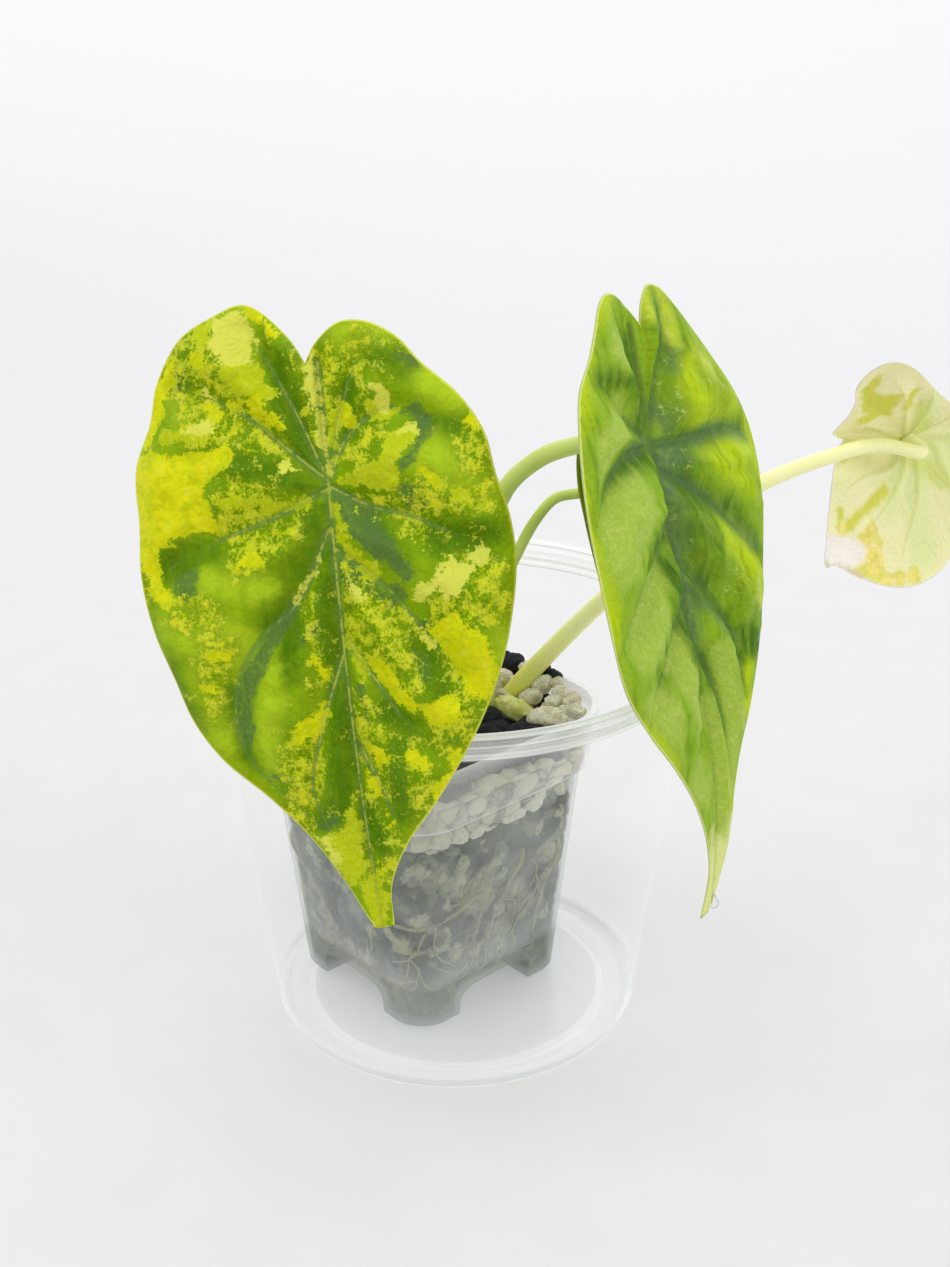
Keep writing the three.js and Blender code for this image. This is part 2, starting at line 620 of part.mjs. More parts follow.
const lower = placeInCup(mixForm(POT.bottomZ + POT.wall + GAP, MIX.splitZ)).subtract(plantHoles);
const upper = placeInCup(mixForm(MIX.splitZ + GAP, MIX.topZ))
  .add(pebbles(true, MIX.topZ, 0))
  .subtract(plantHoles);
const lava = lavaBed()
  .subtract(paleBlock())
  .add(pebbles(false, MIX.topZ + GAP + MIX.bedDepth, 0))
  .subtract(placeInCup(mixForm(MIX.splitZ, MIX.topZ + GAP)))
  .subtract(pebbles(true, MIX.topZ, GAP + 0.2))
  .subtract(plantHoles);

addPiece('mix_lava_lower', toGeometry(largestPiece(lower)), material(0x3b4044, 0.9));
addPiece('mix_pumice_upper', toGeometry(largestPiece(upper)), material(0xc9c3ab, 0.9));
addPiece('mix_lava_top', toGeometry(largestPiece(lava)), material(0x17181a, 0.85));
addPiece('rhizome', toGeometry(largestPiece(rhizome)), material(0xb9a878, 0.7));

for (const [name, stem] of Object.entries(STEMS)) {
  addPiece(`stem_${name}`, stemSolid(stem, 0), material(0xb9c86a, 0.5));
}
for (const [name, leaf] of Object.entries(LEAVES)) {
  const blade = addPiece(`leaf_${name}`, leafBlade(leaf), material(leaf.colour, 0.45));
  blade.applyMatrix4(leafPlacement(leaf));
}

// The origin is the middle of the box's underside
const box = new THREE.Box3().setFromObject(group, true);
group.position.set(-(box.min.x + box.max.x) / 2, -(box.min.y + box.max.y) / 2, -box.min.z);

export default group;
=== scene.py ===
# %% [markdown]
# Potted variegated dragon scale alocasia: the visual model. A young plant with yellow and green
# leaves grows in a square clear nursery pot, which stands in a round clear cup. The packed CAD
# model is the fixed frame, and every piece below is built in it, where the solid that it dresses
# lies. The lesson goes from the room to the plant: camera, light and floor, then the leaves, the
# cup and the pot, the mix and its stones, the roots, the stems and last a drop of water.

# %% Load the frame
import math

import bmesh
import bpy
import numpy as np
from mathutils import Matrix, Vector, noise
from mathutils.kdtree import KDTree


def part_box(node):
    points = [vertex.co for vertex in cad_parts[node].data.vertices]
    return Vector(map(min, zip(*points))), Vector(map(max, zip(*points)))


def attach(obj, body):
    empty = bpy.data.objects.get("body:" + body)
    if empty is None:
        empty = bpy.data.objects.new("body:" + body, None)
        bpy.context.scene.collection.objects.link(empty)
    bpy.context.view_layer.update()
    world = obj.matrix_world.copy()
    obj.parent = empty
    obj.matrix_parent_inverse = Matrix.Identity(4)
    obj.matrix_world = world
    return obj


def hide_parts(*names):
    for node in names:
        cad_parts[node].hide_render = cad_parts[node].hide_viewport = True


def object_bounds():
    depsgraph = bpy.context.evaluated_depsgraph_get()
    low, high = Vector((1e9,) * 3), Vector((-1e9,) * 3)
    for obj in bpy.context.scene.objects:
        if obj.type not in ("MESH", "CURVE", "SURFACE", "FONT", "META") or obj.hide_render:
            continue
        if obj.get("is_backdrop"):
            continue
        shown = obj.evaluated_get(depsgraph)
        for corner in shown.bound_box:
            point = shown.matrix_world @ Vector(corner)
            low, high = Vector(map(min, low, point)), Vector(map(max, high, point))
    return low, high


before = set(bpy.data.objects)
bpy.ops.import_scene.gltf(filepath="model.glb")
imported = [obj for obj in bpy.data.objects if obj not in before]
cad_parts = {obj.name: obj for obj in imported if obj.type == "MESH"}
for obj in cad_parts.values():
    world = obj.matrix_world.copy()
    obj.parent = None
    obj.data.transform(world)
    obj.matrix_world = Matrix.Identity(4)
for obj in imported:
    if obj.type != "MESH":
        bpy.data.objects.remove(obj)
cad_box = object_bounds()
print("the CAD model spans", [[round(v, 3) for v in corner] for corner in cad_box], "m")

# %% [markdown]
# Colours are picked as a screen shows them, from 0 to 255, but shaders add up light and need
# linear values. The conversion could be made with nodes. A helper is shorter, and each colour
# stays in the form in which it was picked.

# %% Screen colours
def srgb(red, green, blue):
    """Screen colour, 0 to 255, as the linear colour that shaders use."""
    linear = [c / 255 / 12.92 if c <= 10 else ((c / 255 + 0.055) / 1.055) ** 2.4
              for c in (red, green, blue)]
    return (*linear, 1.0)


print("screen grey 128 is", round(srgb(128, 128, 128)[0], 3), "in linear light")

# %% [markdown]
# The cup is round and holds all the rest, so sizes are written in millimetres from its axis,
# while Blender's unit is the metre. Objects could be scaled and moved instead, but a pattern on
# object coordinates would then slide, so each piece has its place in its mesh.

# %% Millimetres from the cup's axis
MM = 1000  # in a metre
low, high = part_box("cover_cup")
AXIS_X, AXIS_Y = ((low[k] + high[k]) / 2 * MM for k in (0, 1))


def place_mm(points):
    """Millimetres from the cup's axis, as metres in the frame."""
    return (np.asarray(points, float) + [AXIS_X, AXIS_Y, 0]) / MM


print("cup axis at", round(AXIS_X, 2), round(AXIS_Y, 2), "mm")

# %% [markdown]
# The plant is seen from a little to the right of the cup, from above. A camera could be aimed by
# eye, but the ellipses of the cup's rim and base fix where it stands, so its place, its tilt and
# its slight roll are numbers that were solved from them.

# %% Camera
CAMERA_LENS = 51.14
CAMERA_PLACE = (5.294, -382.394, 263.222)
CAMERA_DOWN, CAMERA_ROLL = 23.6456, -0.355

scene = bpy.context.scene
scene.view_settings.view_transform = "Standard"
camera = bpy.data.objects.new("camera", bpy.data.cameras.new("camera"))
camera.data.lens = CAMERA_LENS
camera.data.clip_start = 0.01
scene.collection.objects.link(camera)
tilt = (Matrix.Rotation(math.radians(90 - CAMERA_DOWN), 4, "X")
        @ Matrix.Rotation(math.radians(CAMERA_ROLL), 4, "Z"))
camera.matrix_world = Matrix.Translation(place_mm(CAMERA_PLACE)) @ tilt
scene.camera = camera
print("camera at", [round(v, 3) for v in camera.matrix_world.translation])

# %% [markdown]
# The real light is a white tent: hardly a shadow, and faint broad highlights. One big lamp would
# shade too hard. Three round area lamps stand for the tent's walls, and a nearly white world
# fills in from every side.

# %% Light
def area_light(name, place, target, size, power):
    light = bpy.data.objects.new(name, bpy.data.lights.new(name, "AREA"))
    light.data.shape = "DISK"
    light.data.size = size
    light.data.energy = power
    light.location = place
    light.rotation_euler = (Vector(target) - Vector(place)).to_track_quat("-Z", "Y").to_euler()
    scene.collection.objects.link(light)


area_light("key_light", (-0.5, -0.35, 1.3), (0, 0, 0.08), 0.8, 5.5)
area_light("side_light", (1.1, -0.5, 0.8), (0, 0, 0.1), 0.7, 4.0)
area_light("back_light", (0.2, 0.9, 1.0), (0, 0, 0.08), 0.9, 3.0)

world = bpy.data.worlds.new("studio")
world.use_nodes = True
sky = world.node_tree.nodes["Background"].inputs
sky["Color"].default_value = srgb(253, 253, 255)
sky["Strength"].default_value = 0.7
scene.world = world
print(len(bpy.data.lights), "lamps and a white world")

# %% [markdown]
# The cup stands on white paper that curves up far behind it, so that no edge shows. A flat plane
# would end in a horizon. The paper is one strip instead: flat, then a quarter turn, then upright.
# It is marked as stage, which keeps it out of the plant.

# %% Floor
def make_floor():
    front, bend_start, bend_radius, steps, half_width, top = -2.5, 1.2, 1.2, 16, 4, 4
    profile = [(front, 0), (bend_start, 0)]
    for k in range(1, steps + 1):
        angle = k / steps * math.pi / 2
        profile.append((bend_start + bend_radius * math.sin(angle),
                        bend_radius - bend_radius * math.cos(angle)))
    profile.append((bend_start + bend_radius, top))
    verts = [(x, y, z) for y, z in profile for x in (-half_width, half_width)]
    faces = [(2 * k, 2 * k + 1, 2 * k + 3, 2 * k + 2) for k in range(len(profile) - 1)]
    mesh = bpy.data.meshes.new("studio_floor")
    mesh.from_pydata(verts, [], faces)
    mesh.shade_smooth()
    floor = bpy.data.objects.new("studio_floor", mesh)
    scene.collection.objects.link(floor)
    floor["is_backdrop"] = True
    return floor


floor = make_floor()
print(floor.name, len(floor.data.polygons), "strips")

# %% [markdown]
# Materials and Geometry Nodes are node trees. They could be wired by hand in the editor. In a
# script every link takes a line, so `Tree` keeps it short: each call adds one node, sets its
# plain values, links its inputs, and gives back the output that the next node needs.

# %% Wiring nodes
class Tree:
    def __init__(self, tree):
        self.tree = tree

    def node(self, kind, inputs=None, **settings):
        node = self.tree.nodes.new(kind)
        for key, value in settings.items():
            setattr(node, key, value)
        for key, value in (inputs or {}).items():
            self.put(node.inputs[key], value)
        return node

    def put(self, socket, value):
        if isinstance(value, bpy.types.NodeSocket):
            self.tree.links.new(value, socket)
        else:
            socket.default_value = value

    def attribute(self, name, vector=False):
        node = self.node("ShaderNodeAttribute", attribute_name=name)
        return node.outputs["Vector" if vector else "Fac"]

    def math(self, operation, a, b=0.0, clamp=False):
        inputs = {0: a, 1: b}
        return self.node("ShaderNodeMath", inputs, operation=operation, use_clamp=clamp).outputs[0]

    def times(self, a, b):
        return self.math("MULTIPLY", a, b)

    def plus(self, a, b):
        return self.math("ADD", a, b)

    def vector(self, operation, a, b):
        return self.node("ShaderNodeVectorMath", {0: a, 1: b}, operation=operation).outputs[0]

    def noise(self, vector, scale, detail=4.0, roughness=0.55, distortion=0.0):
        values = {"Vector": vector, "Scale": scale, "Detail": detail, "Roughness": roughness}
        values["Distortion"] = distortion
        return self.node("ShaderNodeTexNoise", values).outputs["Fac"]

    def step(self, value, start, end, low=0.0, high=1.0):
        """Smooth change from low at start to high at end."""
        values = {"Value": value, "From Min": start, "From Max": end, "To Min": low, "To Max": high}
        node = self.node("ShaderNodeMapRange", values, interpolation_type="SMOOTHSTEP")
        return node.outputs["Result"]

    def mix(self, share, a, b, blend="MIX"):
        colours = {"Factor": share, 6: a, 7: b}
        return self.node("ShaderNodeMix", colours, data_type="RGBA", blend_type=blend).outputs[2]

    def bump(self, height, strength, distance):
        values = {"Height": height, "Strength": strength, "Distance": distance}
        return self.node("ShaderNodeBump", values).outputs["Normal"]

    def object_mm(self):
        return self.vector("MULTIPLY", self.node("ShaderNodeTexCoord").outputs["Object"], (MM,) * 3)

    def part(self, vector, axis):
        return self.node("ShaderNodeSeparateXYZ", {"Vector": vector}).outputs[axis]


print("node helpers:", ", ".join(name for name in vars(Tree) if not name.startswith("_")))

# %% [markdown]
# Real finishes share effects: all four leaves have the same kind of speckle, both clear plastics
# the same fog. The nodes could be copied into each material. A node group with named inputs is
# built once instead, and each material gives it its own values. The Principled shader stays in
# the material, where its plain numbers are set on its own sockets.

# %% Materials and shared skins
def new_material(name, values):
    """A material, its tree and its Principled shader, with plain values set straight on it."""
    material = bpy.data.materials.new(name)
    material.use_nodes = True
    shader = material.node_tree.nodes["Principled BSDF"]
    for key, value in values.items():
        shader.inputs[key].default_value = value
    return material, Tree(material.node_tree), shader


def new_group(name, colours, numbers, outputs):
    """Node group with named inputs and outputs; gives its tree and what its inputs bring in."""
    group = bpy.data.node_groups.new(name, "ShaderNodeTree")
    sockets = [(label, "INPUT", "Color") for label in colours]
    sockets += [(label, "INPUT", "Float") for label in numbers]
    sockets += [(label, "OUTPUT", "Color" if label == "Color" else "Float") for label in outputs]
    for label, way, kind in sockets:
        group.interface.new_socket(name=label, in_out=way, socket_type=f"NodeSocket{kind}")
    tree = Tree(group)
    return tree, tree.node("NodeGroupInput").outputs


def skinned_material(name, group, plain, values, bump):
    """Material that takes its colour and fine height from a shared group, with its own values."""
    material, tree, shader = new_material(name, plain)
    skin = tree.node("ShaderNodeGroup", values, node_tree=group).outputs
    tree.put(shader.inputs["Base Color"], skin["Color"])
    tree.put(shader.inputs["Normal"], tree.bump(skin["Height"], *bump))
    if "Roughness" in skin:
        tree.put(shader.inputs["Roughness"], skin["Roughness"])
    return material


print("materials before the first one is made here:", len(bpy.data.materials))

# %% [markdown]
# White paper under soft light is nearly even, with faint clouds, and is painted a touch darker near
# the eye as painted falloff of the light. A white colour alone would go grey away from the lamps,
# so the paper also gives off a little painted light of its own, though it is no lamp, and more of
# it far behind.

# %% Floor paper
floor_plain = {"Roughness": 0.9, "Specular IOR Level": 0.05, "Emission Strength": 1.0}
floor_material, tree, shader = new_material("floor_paper", floor_plain)
mm = tree.object_mm()
depth = tree.part(mm, "Y")
# Painted falloff: the paper's colour is a touch darker near the eye.
paper = tree.mix(tree.step(depth, -200.0, 900.0), srgb(178, 178, 177), srgb(184, 184, 185))
clouds = tree.mix(tree.noise(mm, 0.05, 3.0, 0.4), paper, srgb(186, 186, 186))
# Painted light: the paper gives off light although it is no lamp, more of it far behind.
painted_glow = tree.mix(tree.step(depth, -400.0, 700.0), srgb(152, 152, 151), srgb(156, 156, 158))
far_painted_glow = tree.mix(tree.step(depth, 500.0, 2000.0), painted_glow, srgb(200, 200, 202))
tree.put(shader.inputs["Base Color"], clouds)
tree.put(shader.inputs["Emission Color"], far_painted_glow)
floor.data.materials.append(floor_material)
print(floor_material.name, "has", len(floor_material.node_tree.nodes), "nodes")

# %% [markdown]
# An alocasia leaf is a shield: two lobes at the notch, a long taper to the tip, and the stem
# joined to its back. Each blade is drawn flat in its own frame, in millimetres, with the stem's
# end at the origin: x to the right, y from the tip to the lobes. A leaf could be sculpted, but an
# outline on each side of the midrib is easy to check against the real one.
# `place`, `facing`, `lean` and `spin` hang the blade. The vein ends are places along each margin,
# counted in its points. `arch`, `fold` and `cup` bend the whole blade, `puff`, `wave` and `rib`
# are its relief, and `shore` is how far in from the margin the relief starts.

# %% Blade outlines
HIDDEN_HALF = [(0, 13), (3, 17), (8, 20), (13, 19), (17.5, 15), (20, 7.5), (19.4, 0), (17.2, -9.5),
               (14, -18), (10, -27), (6, -35), (2.5, -41.5), (0, -46)]
HIDDEN_VEIN_ENDS = (0, 2, 4.2, 6.2, 7.8, 9.4, 10.8, 12)

LEAVES = {
    "front": dict(
        place=(-23.1, -50, 149.8), facing=-10, lean=15.5, spin=8,
        left=[(-2.5, 23.5), (-5.5, 29), (-13, 35.7), (-20, 34), (-27, 30.3), (-32.5, 22),
              (-34.5, 15), (-38.4, 6), (-38.7, -5), (-39.2, -15), (-37.5, -26), (-34.2, -36),
              (-31.5, -44.5), (-26.5, -53), (-18.5, -61.5), (-11.5, -70.5), (-5.5, -81),
              (-1.5, -91)],
        right=[(-2.5, 23.5), (0, 27.2), (5, 30.6), (10, 30.4), (16, 27), (20.5, 21.5), (27.5, 14.5),
               (31.8, 7), (33.4, -1), (35.5, -9), (36, -18), (34, -29), (30.5, -39.5), (24.5, -51),
               (15.8, -63.5), (8, -73), (3.4, -82), (2.5, -90.5)],
        left_veins=(0, 2.4, 5.5, 9, 12.4, 14.6, 16, 17),
        right_veins=(0, 3, 6.6, 9.4, 12, 13.7, 15.4, 17),
        arch=((-92, -6), (-60, 0), (-30, 1.5), (0, 0), (36, -3)),
        fold=0.12, cup=-0.002, puff=3.2, wave=0.7, rib=0.7, shore=9,
    ),
    "right": dict(
        place=(39.7, -40, 154.6), facing=58, lean=10, spin=-1.5,
        left=[(4.2, 22.8), (1, 26.5), (-3, 29.6), (-8, 30.7), (-12, 29), (-15.5, 25), (-20, 20.4),
              (-26.5, 15.3), (-30, 7.5), (-32.7, -3), (-34, -16), (-34.2, -30), (-33.2, -41),
              (-26.8, -52), (-18.8, -62), (-11, -73.5), (-5.6, -85), (-3.8, -93), (-7.2, -101)],
        right=[(4.2, 22.8), (6, 27), (9, 29.7), (13, 28.5), (17, 24.8), (23, 18), (29.3, 10.4),
               (35, 2.8), (38.4, -5), (39, -14), (37, -24), (32.5, -35), (28, -44.5), (22.6, -54),
               (17, -62.5), (11.4, -69.5), (7, -78), (4.6, -90), (0.6, -101)],
        left_veins=(0, 3, 6.6, 9.3, 11.6, 13.6, 15.6, 18),
        right_veins=(0, 2.6, 7.2, 10.6, 13, 15.2, 16.6, 18),
        arch=((-104, 2.2), (-80, 6), (-60, 6), (-30, 3), (0, 0), (32, -2.5)),
        fold=0.14, cup=-0.0012, puff=3.2, wave=0.2, rib=0.6, shore=14,
    ),
    "far_right": dict(
        place=(113.3, 50, 126.9), facing=-159, lean=12, spin=-84,
        left=[(0, 18.6), (-2.5, 23.5), (-4.7, 23.4), (-8.7, 22.5), (-13.1, 23.3), (-17.5, 25.9),
              (-21.3, 27), (-25, 26.6), (-27.4, 25.3), (-28.3, 23), (-27.5, 19.1), (-24.5, 13.2),
              (-19.3, 5.4), (-15.2, -0.8), (-12.6, -5.3), (-10.6, -10.5), (-9, -17), (-7.4, -25),
              (-5.4, -34), (-3, -42.5), (0, -50)],
        right=[(0, 18.6), (1.4, 19.5), (3.2, 20), (6, 20.9), (10.9, 21.8), (16.3, 22.7),
               (21.8, 23.6), (26.2, 24.2), (27.6, 23.6), (27.4, 21.8), (28.6, 18.4), (30.7, 14.4),
               (32, 10.7), (33.6, 3.5), (33.5, -2.6), (30.8, -10.2), (27.3, -14.7), (21, -21.5),
               (14.5, -29), (8.5, -37), (3.6, -44.5), (0, -50)],
        left_veins=(0, 5, 9, 12, 14.5, 16.5, 18.5, 20),
        right_veins=(0, 5, 8, 11, 13.5, 16, 18.5, 21),
        arch=((-52, -5), (-30, -1), (0, 0), (26, -1)),
        fold=-0.5, cup=0, puff=1.3, wave=0.9, rib=0.35, shore=9,
    ),
    "hidden": dict(
        place=(38.9, 5, 128.5), facing=55, lean=8, spin=0,
        left=[(-x, y) for x, y in HIDDEN_HALF], right=HIDDEN_HALF,
        left_veins=HIDDEN_VEIN_ENDS, right_veins=HIDDEN_VEIN_ENDS,
        arch=((-48, -2.5), (0, 0), (20, -1)),
        fold=0.1, cup=0, puff=1.2, wave=0.3, rib=0.3, shore=9,
    ),
}


print(len(LEAVES), "leaf outlines")

# %% [markdown]
# On this plant the veins are plain to see: creases above, ribs below, with the blade quilted
# between them. They could be painted on, but as lines they drive both the relief and the colour.
# Each runs from the midrib or the stem's end outwards.

# %% Main veins
VEINS = {
    "front": [
        [(-0.5, 1), (-7, 7), (-14, 13.6), (-21, 18), (-29, 21)],
        [(-0.7, -1.3), (-12, -6), (-26.6, -10.6), (-35, -15)],
        [(-0.8, -9), (-7.6, -22), (-16, -29), (-21, -36), (-23, -45), (-21.4, -53), (-14.4, -62),
         (-8, -70)], [(-0.5, 2), (-5, 14), (-9.5, 24), (-13, 31)],
        [(-0.4, -34), (-6, -48), (-9.5, -60), (-7, -70)],
        [(0.5, 1), (4.3, 8), (13, 13.5), (17.7, 11.5), (28, 9)], [(0.5, 2), (4, 14), (8, 24)],
        [(0.5, -0.8), (8, -5), (16, -7.5), (23, -11), (31, -15)],
        [(0.6, -13), (9, -20), (14, -26), (18.7, -33), (23, -39)],
        [(1.2, -31), (7, -41), (10, -46), (16, -53)], [(1, -52), (5, -62), (7, -70)]],
    "right": [
        [(0, 1), (5.3, 11), (11, 20), (13, 27)],
        [(0.1, -0.7), (9, -1.8), (16.6, -2.6), (26.6, -2.8), (37, -7)],
        [(0.7, -6), (11, -12), (20, -20), (30, -31)],
        [(0.2, -24.5), (7.7, -32), (14.3, -43), (16, -53), (16.3, -62.5)],
        [(0.3, -41.5), (5, -54), (6.4, -65.6), (6.3, -74)],
        [(-0.5, 1), (-2.6, 9), (-3.4, 18.6), (-5.3, 27)],
        [(-1, 0.8), (-6, 4), (-10.4, 7.4), (-14, 12), (-20, 17)],
        [(-1.5, -1), (-12, 0), (-22, -2), (-31, -9)],
        [(-0.3, -14.4), (-8.3, -22), (-19, -26.7), (-32, -33)],
        [(-0.2, -33), (-11.5, -39.5), (-22.5, -46), (-27, -51)], [(0, -50), (-6, -60), (-10, -70)]],
    "far_right": [
        [(0, 0), (-9, -10), (-11, -12)], [(0, 0), (6, -3.5), (15, -3.5), (22, -1), (30, 1)],
        [(0, 0), (7, 0.5), (13, 4), (20, 10.5)], [(0, 0), (6, 4), (8, 12), (11, 18)],
        [(0, 0), (-7, 5), (-13, 9), (-20, 16)], [(0, 0), (-12, 1), (-22, 7)],
        [(0, 0), (-3, 10), (-6, 19)], [(1, -8), (12, -14), (24, -16)], [(0, -20), (8, -28)]],
    "hidden": [
        [(0, 0), (-8, 6), (-14, 12)], [(0, 0), (-10, -4), (-17, -8)],
        [(0, -12), (-7, -20), (-11, -26)], [(0, 0), (8, 6), (14, 12)], [(0, 0), (10, -4), (17, -8)],
        [(0, -12), (7, -20), (11, -26)]],
}


print(sum(map(len, VEINS.values())), "veins")

# %% [markdown]
# Margins, veins, stems and roots all bend smoothly through a few known points. A Bezier curve
# would need handles. A centripetal spline needs none, passes through every point and doesn't
# overshoot where two points lie close together.

# %% Smooth lines
def spline_at(points, share):
    """Point of a centripetal spline at a share of its points."""
    last = len(points) - 1
    i = min(int(share * last), last - 1)
    w = share * last - i
    p1, p2 = points[i], points[i + 1]
    p0 = points[i - 1] if i > 0 else 2 * p1 - p2
    p3 = points[i + 2] if i + 2 <= last else 2 * p2 - p1
    pairs = ((p0, p1), (p1, p2), (p2, p3))
    d0, d1, d2 = (max(np.linalg.norm(b - a) ** 0.5, 1e-3) for a, b in pairs)
    m1 = ((p1 - p0) / d0 - (p2 - p0) / (d0 + d1) + (p2 - p1) / d1) * d1
    m2 = ((p2 - p1) / d1 - (p3 - p1) / (d1 + d2) + (p3 - p2) / d2) * d1
    return (p1 + m1 * w + (3 * (p2 - p1) - 2 * m1 - m2) * w**2
            + (2 * (p1 - p2) + m1 + m2) * w**3)


def smooth_line(points, count):
    """Centripetal spline through the points, sampled evenly along its length."""
    points = np.asarray(points, float)
    dense = np.array([spline_at(points, s) for s in np.linspace(0, 1, 24 * len(points))])
    along = np.r_[0, np.cumsum(np.linalg.norm(np.diff(dense, axis=0), axis=1))]
    wanted = np.linspace(0, along[-1], count)
    return np.stack([np.interp(wanted, along, dense[:, k]) for k in range(dense.shape[1])], 1)


print("a spline through 3 points, sampled at 5:",
      smooth_line([(0, 0), (1, 1), (2, 0)], 5).round(2).tolist())

# %% [markdown]
# A blade is widest between the lobes and ends in a point, so a plain square grid would bunch up
# or leave the margin ragged. Each half is a fan of bent spokes instead, which run from the midrib
# to the margin as the veins do. `t` counts the main veins from the notch to the tip, and `r` is
# the share of the way out, so the same two numbers place relief and colour.

# %% Half a blade as a grid
VEIN_STEPS, RING_STEPS = 22, 60
# Where each main vein leaves the midrib, as a share of its length down to the tip
SPINE_STARTS = (0, 0, 0, 0.02, 0.13, 0.32, 0.53, 1)
SPANS = len(SPINE_STARTS) - 1


def smooth_steps(x, start, end):
    share = np.clip((x - start) / (end - start), 0, 1)
    return share * share * (3 - 2 * share)


def half_blade(leaf, side):
    """Grids of x, y, t, r and the distance to the margin along the spoke."""
    margin = np.array(leaf[side], float)
    veins = np.array(leaf[f"{side}_veins"], float)
    tip_y = leaf["left"][-1][1]
    t = np.linspace(0, SPANS, SPANS * VEIN_STEPS + 1)
    whole = np.minimum(t.astype(int), SPANS - 1)
    starts = np.array(SPINE_STARTS, float)
    start_y = tip_y * (starts[whole] + (starts[whole + 1] - starts[whole]) * (t - whole))
    start = np.stack([np.zeros_like(t), start_y], 1)
    index = veins[whole] + (veins[whole + 1] - veins[whole]) * (t - whole)
    end = np.array([spline_at(margin, k / (len(margin) - 1)) for k in index])
    swing = smooth_steps(t, 2, 4)[:, None]
    shares = np.concatenate([0.5 + 0.12 * swing, 0.5 - 0.17 * swing], 1)
    bend = start + (end - start) * shares
    even = np.linspace(0, 1, RING_STEPS + 1)
    r = np.sin(np.linspace(0, np.pi / 2, RING_STEPS + 1)) * 0.4 + even * 0.6  # denser outside
    rr = r[None, :, None]
    points = ((1 - rr) ** 2 * start[:, None] + 2 * rr * (1 - rr) * bend[:, None]
              + rr**2 * end[:, None])
    length = np.linalg.norm(end - start, axis=1)[:, None]
    grid_t, grid_r = np.meshgrid(t, r, indexing="ij")
    return points[..., 0], points[..., 1], grid_t, grid_r, (1 - grid_r) * length


print("a half blade has", half_blade(LEAVES["front"], "left")[0].size, "points")

# %% [markdown]
# Relief and paint both ask how near a vein is. A texture could hold that, but it would blur up
# close. Here each grid point is measured against every vein's line, and keeps the smallest
# distance and how far along that vein it lies, since veins thin out towards the margin.

# %% Distance to the veins
def vein_distance(name, x, y):
    """Distance to the nearest main vein or to the midrib, in mm, and how far along it that is."""
    flat = np.stack([x.ravel(), y.ravel()], 1)
    notch, tip = LEAVES[name]["left"][0][1], LEAVES[name]["left"][-1][1]
    below = np.clip(flat[:, 1] / tip, 0, 1)
    found = np.hypot(flat[:, 0], np.maximum(flat[:, 1] - notch, 0))
    along = 0.5 * below + 0.4 * below**4
    for vein in VEINS[name]:
        line = smooth_line(vein, 30)
        a, ab = line[:-1], np.diff(line, axis=0)
        share = np.clip(np.einsum("nkj,kj->nk", flat[:, None] - a, ab) / (ab * ab).sum(1), 0, 1)
        gap = np.linalg.norm(flat[:, None] - a - share[..., None] * ab, axis=2)
        nearest = gap.argmin(1)
        rows = np.arange(len(flat))
        closer = gap[rows, nearest] < found
        found = np.where(closer, gap[rows, nearest], found)
        along = np.where(closer, (nearest + share[rows, nearest]) / len(ab), along)
    return found.reshape(x.shape), along.reshape(x.shape)


print("a point on the midrib is", float(vein_distance("front", *np.zeros((2, 1, 1)))[0]),
      "mm from a vein")

# %% [markdown]
# Between two veins the blade puffs up like a quilt, each vein lies in a narrow crease, and the
# margin waves a little. Displacement in the shader wouldn't reach the mesh, so the height is worked
# out for each point: one term for each form, added up.

# %% Relief of a blade
def arch_height(points, y):
    """Smooth height along the midrib, through (y, height) points."""
    xs, ys = np.array(points, float).T
    slopes = np.array([(ys[min(k + 1, len(xs) - 1)] - ys[max(k - 1, 0)])
                       / (xs[min(k + 1, len(xs) - 1)] - xs[max(k - 1, 0)]) for k in range(len(xs))])
    i = np.clip(np.searchsorted(xs, y) - 1, 0, len(xs) - 2)
    h = xs[i + 1] - xs[i]
    t = np.clip((y - xs[i]) / h, 0, 1)
    inside = ((1 + 2 * t) * (1 - t) ** 2 * ys[i] + t * (1 - t) ** 2 * h * slopes[i]
              + t * t * (3 - 2 * t) * ys[i + 1] + t * t * (t - 1) * h * slopes[i + 1])
    return inside + slopes[0] * np.minimum(y - xs[0], 0) + slopes[-1] * np.maximum(y - xs[-1], 0)


def soft_noise(x, y, scale, seed):
    flat = [noise.noise(Vector((a * scale, b * scale, seed))) for a, b in zip(x.ravel(), y.ravel())]
    return np.array(flat).reshape(x.shape)


def blade_height(leaf, x, y, t, r, vein, along, edge):
    """Height of the blade's middle: arch, fold, puff between veins, small quilts and creases."""
    near_tip = 0.35 + 0.65 * smooth_steps(y, -92, -50)
    inland = 1 - (1 - np.clip(edge / leaf["shore"], 0, 1)) ** 2
    pillow = (1 - np.exp(-(vein / 4.2) ** 2)) * inland * near_tip
    wave = leaf["wave"] * r**3 * np.sin(2.3 * t + 0.6 * np.clip(x / 4, -1, 1))
    base = arch_height(leaf["arch"], y) + leaf["fold"] * np.abs(x) + leaf["cup"] * x * x
    lumps = 0.5 * soft_noise(x, y, 0.13, 2.0) + 0.3 * soft_noise(x, y, 0.36, 7.0)
    quilt = leaf["puff"] * lumps * pillow
    crease = -leaf["rib"] * np.exp(-(vein / 0.8) ** 2) * (1 - 0.7 * along) * np.clip(edge / 3, 0, 1)
    return base + 1.15 * leaf["puff"] * pillow + wave + quilt + crease


print("the front leaf's midrib drops to",
      round(float(arch_height(LEAVES["front"]["arch"], -90.0)), 1), "mm at its tip")

# %% [markdown]
# Each blade faces its own way, leans back a little and is turned about its stem's end. Euler
# angles would mix the three. Three axes are worked out instead: out of the upper face, down
# towards the tip, and across.

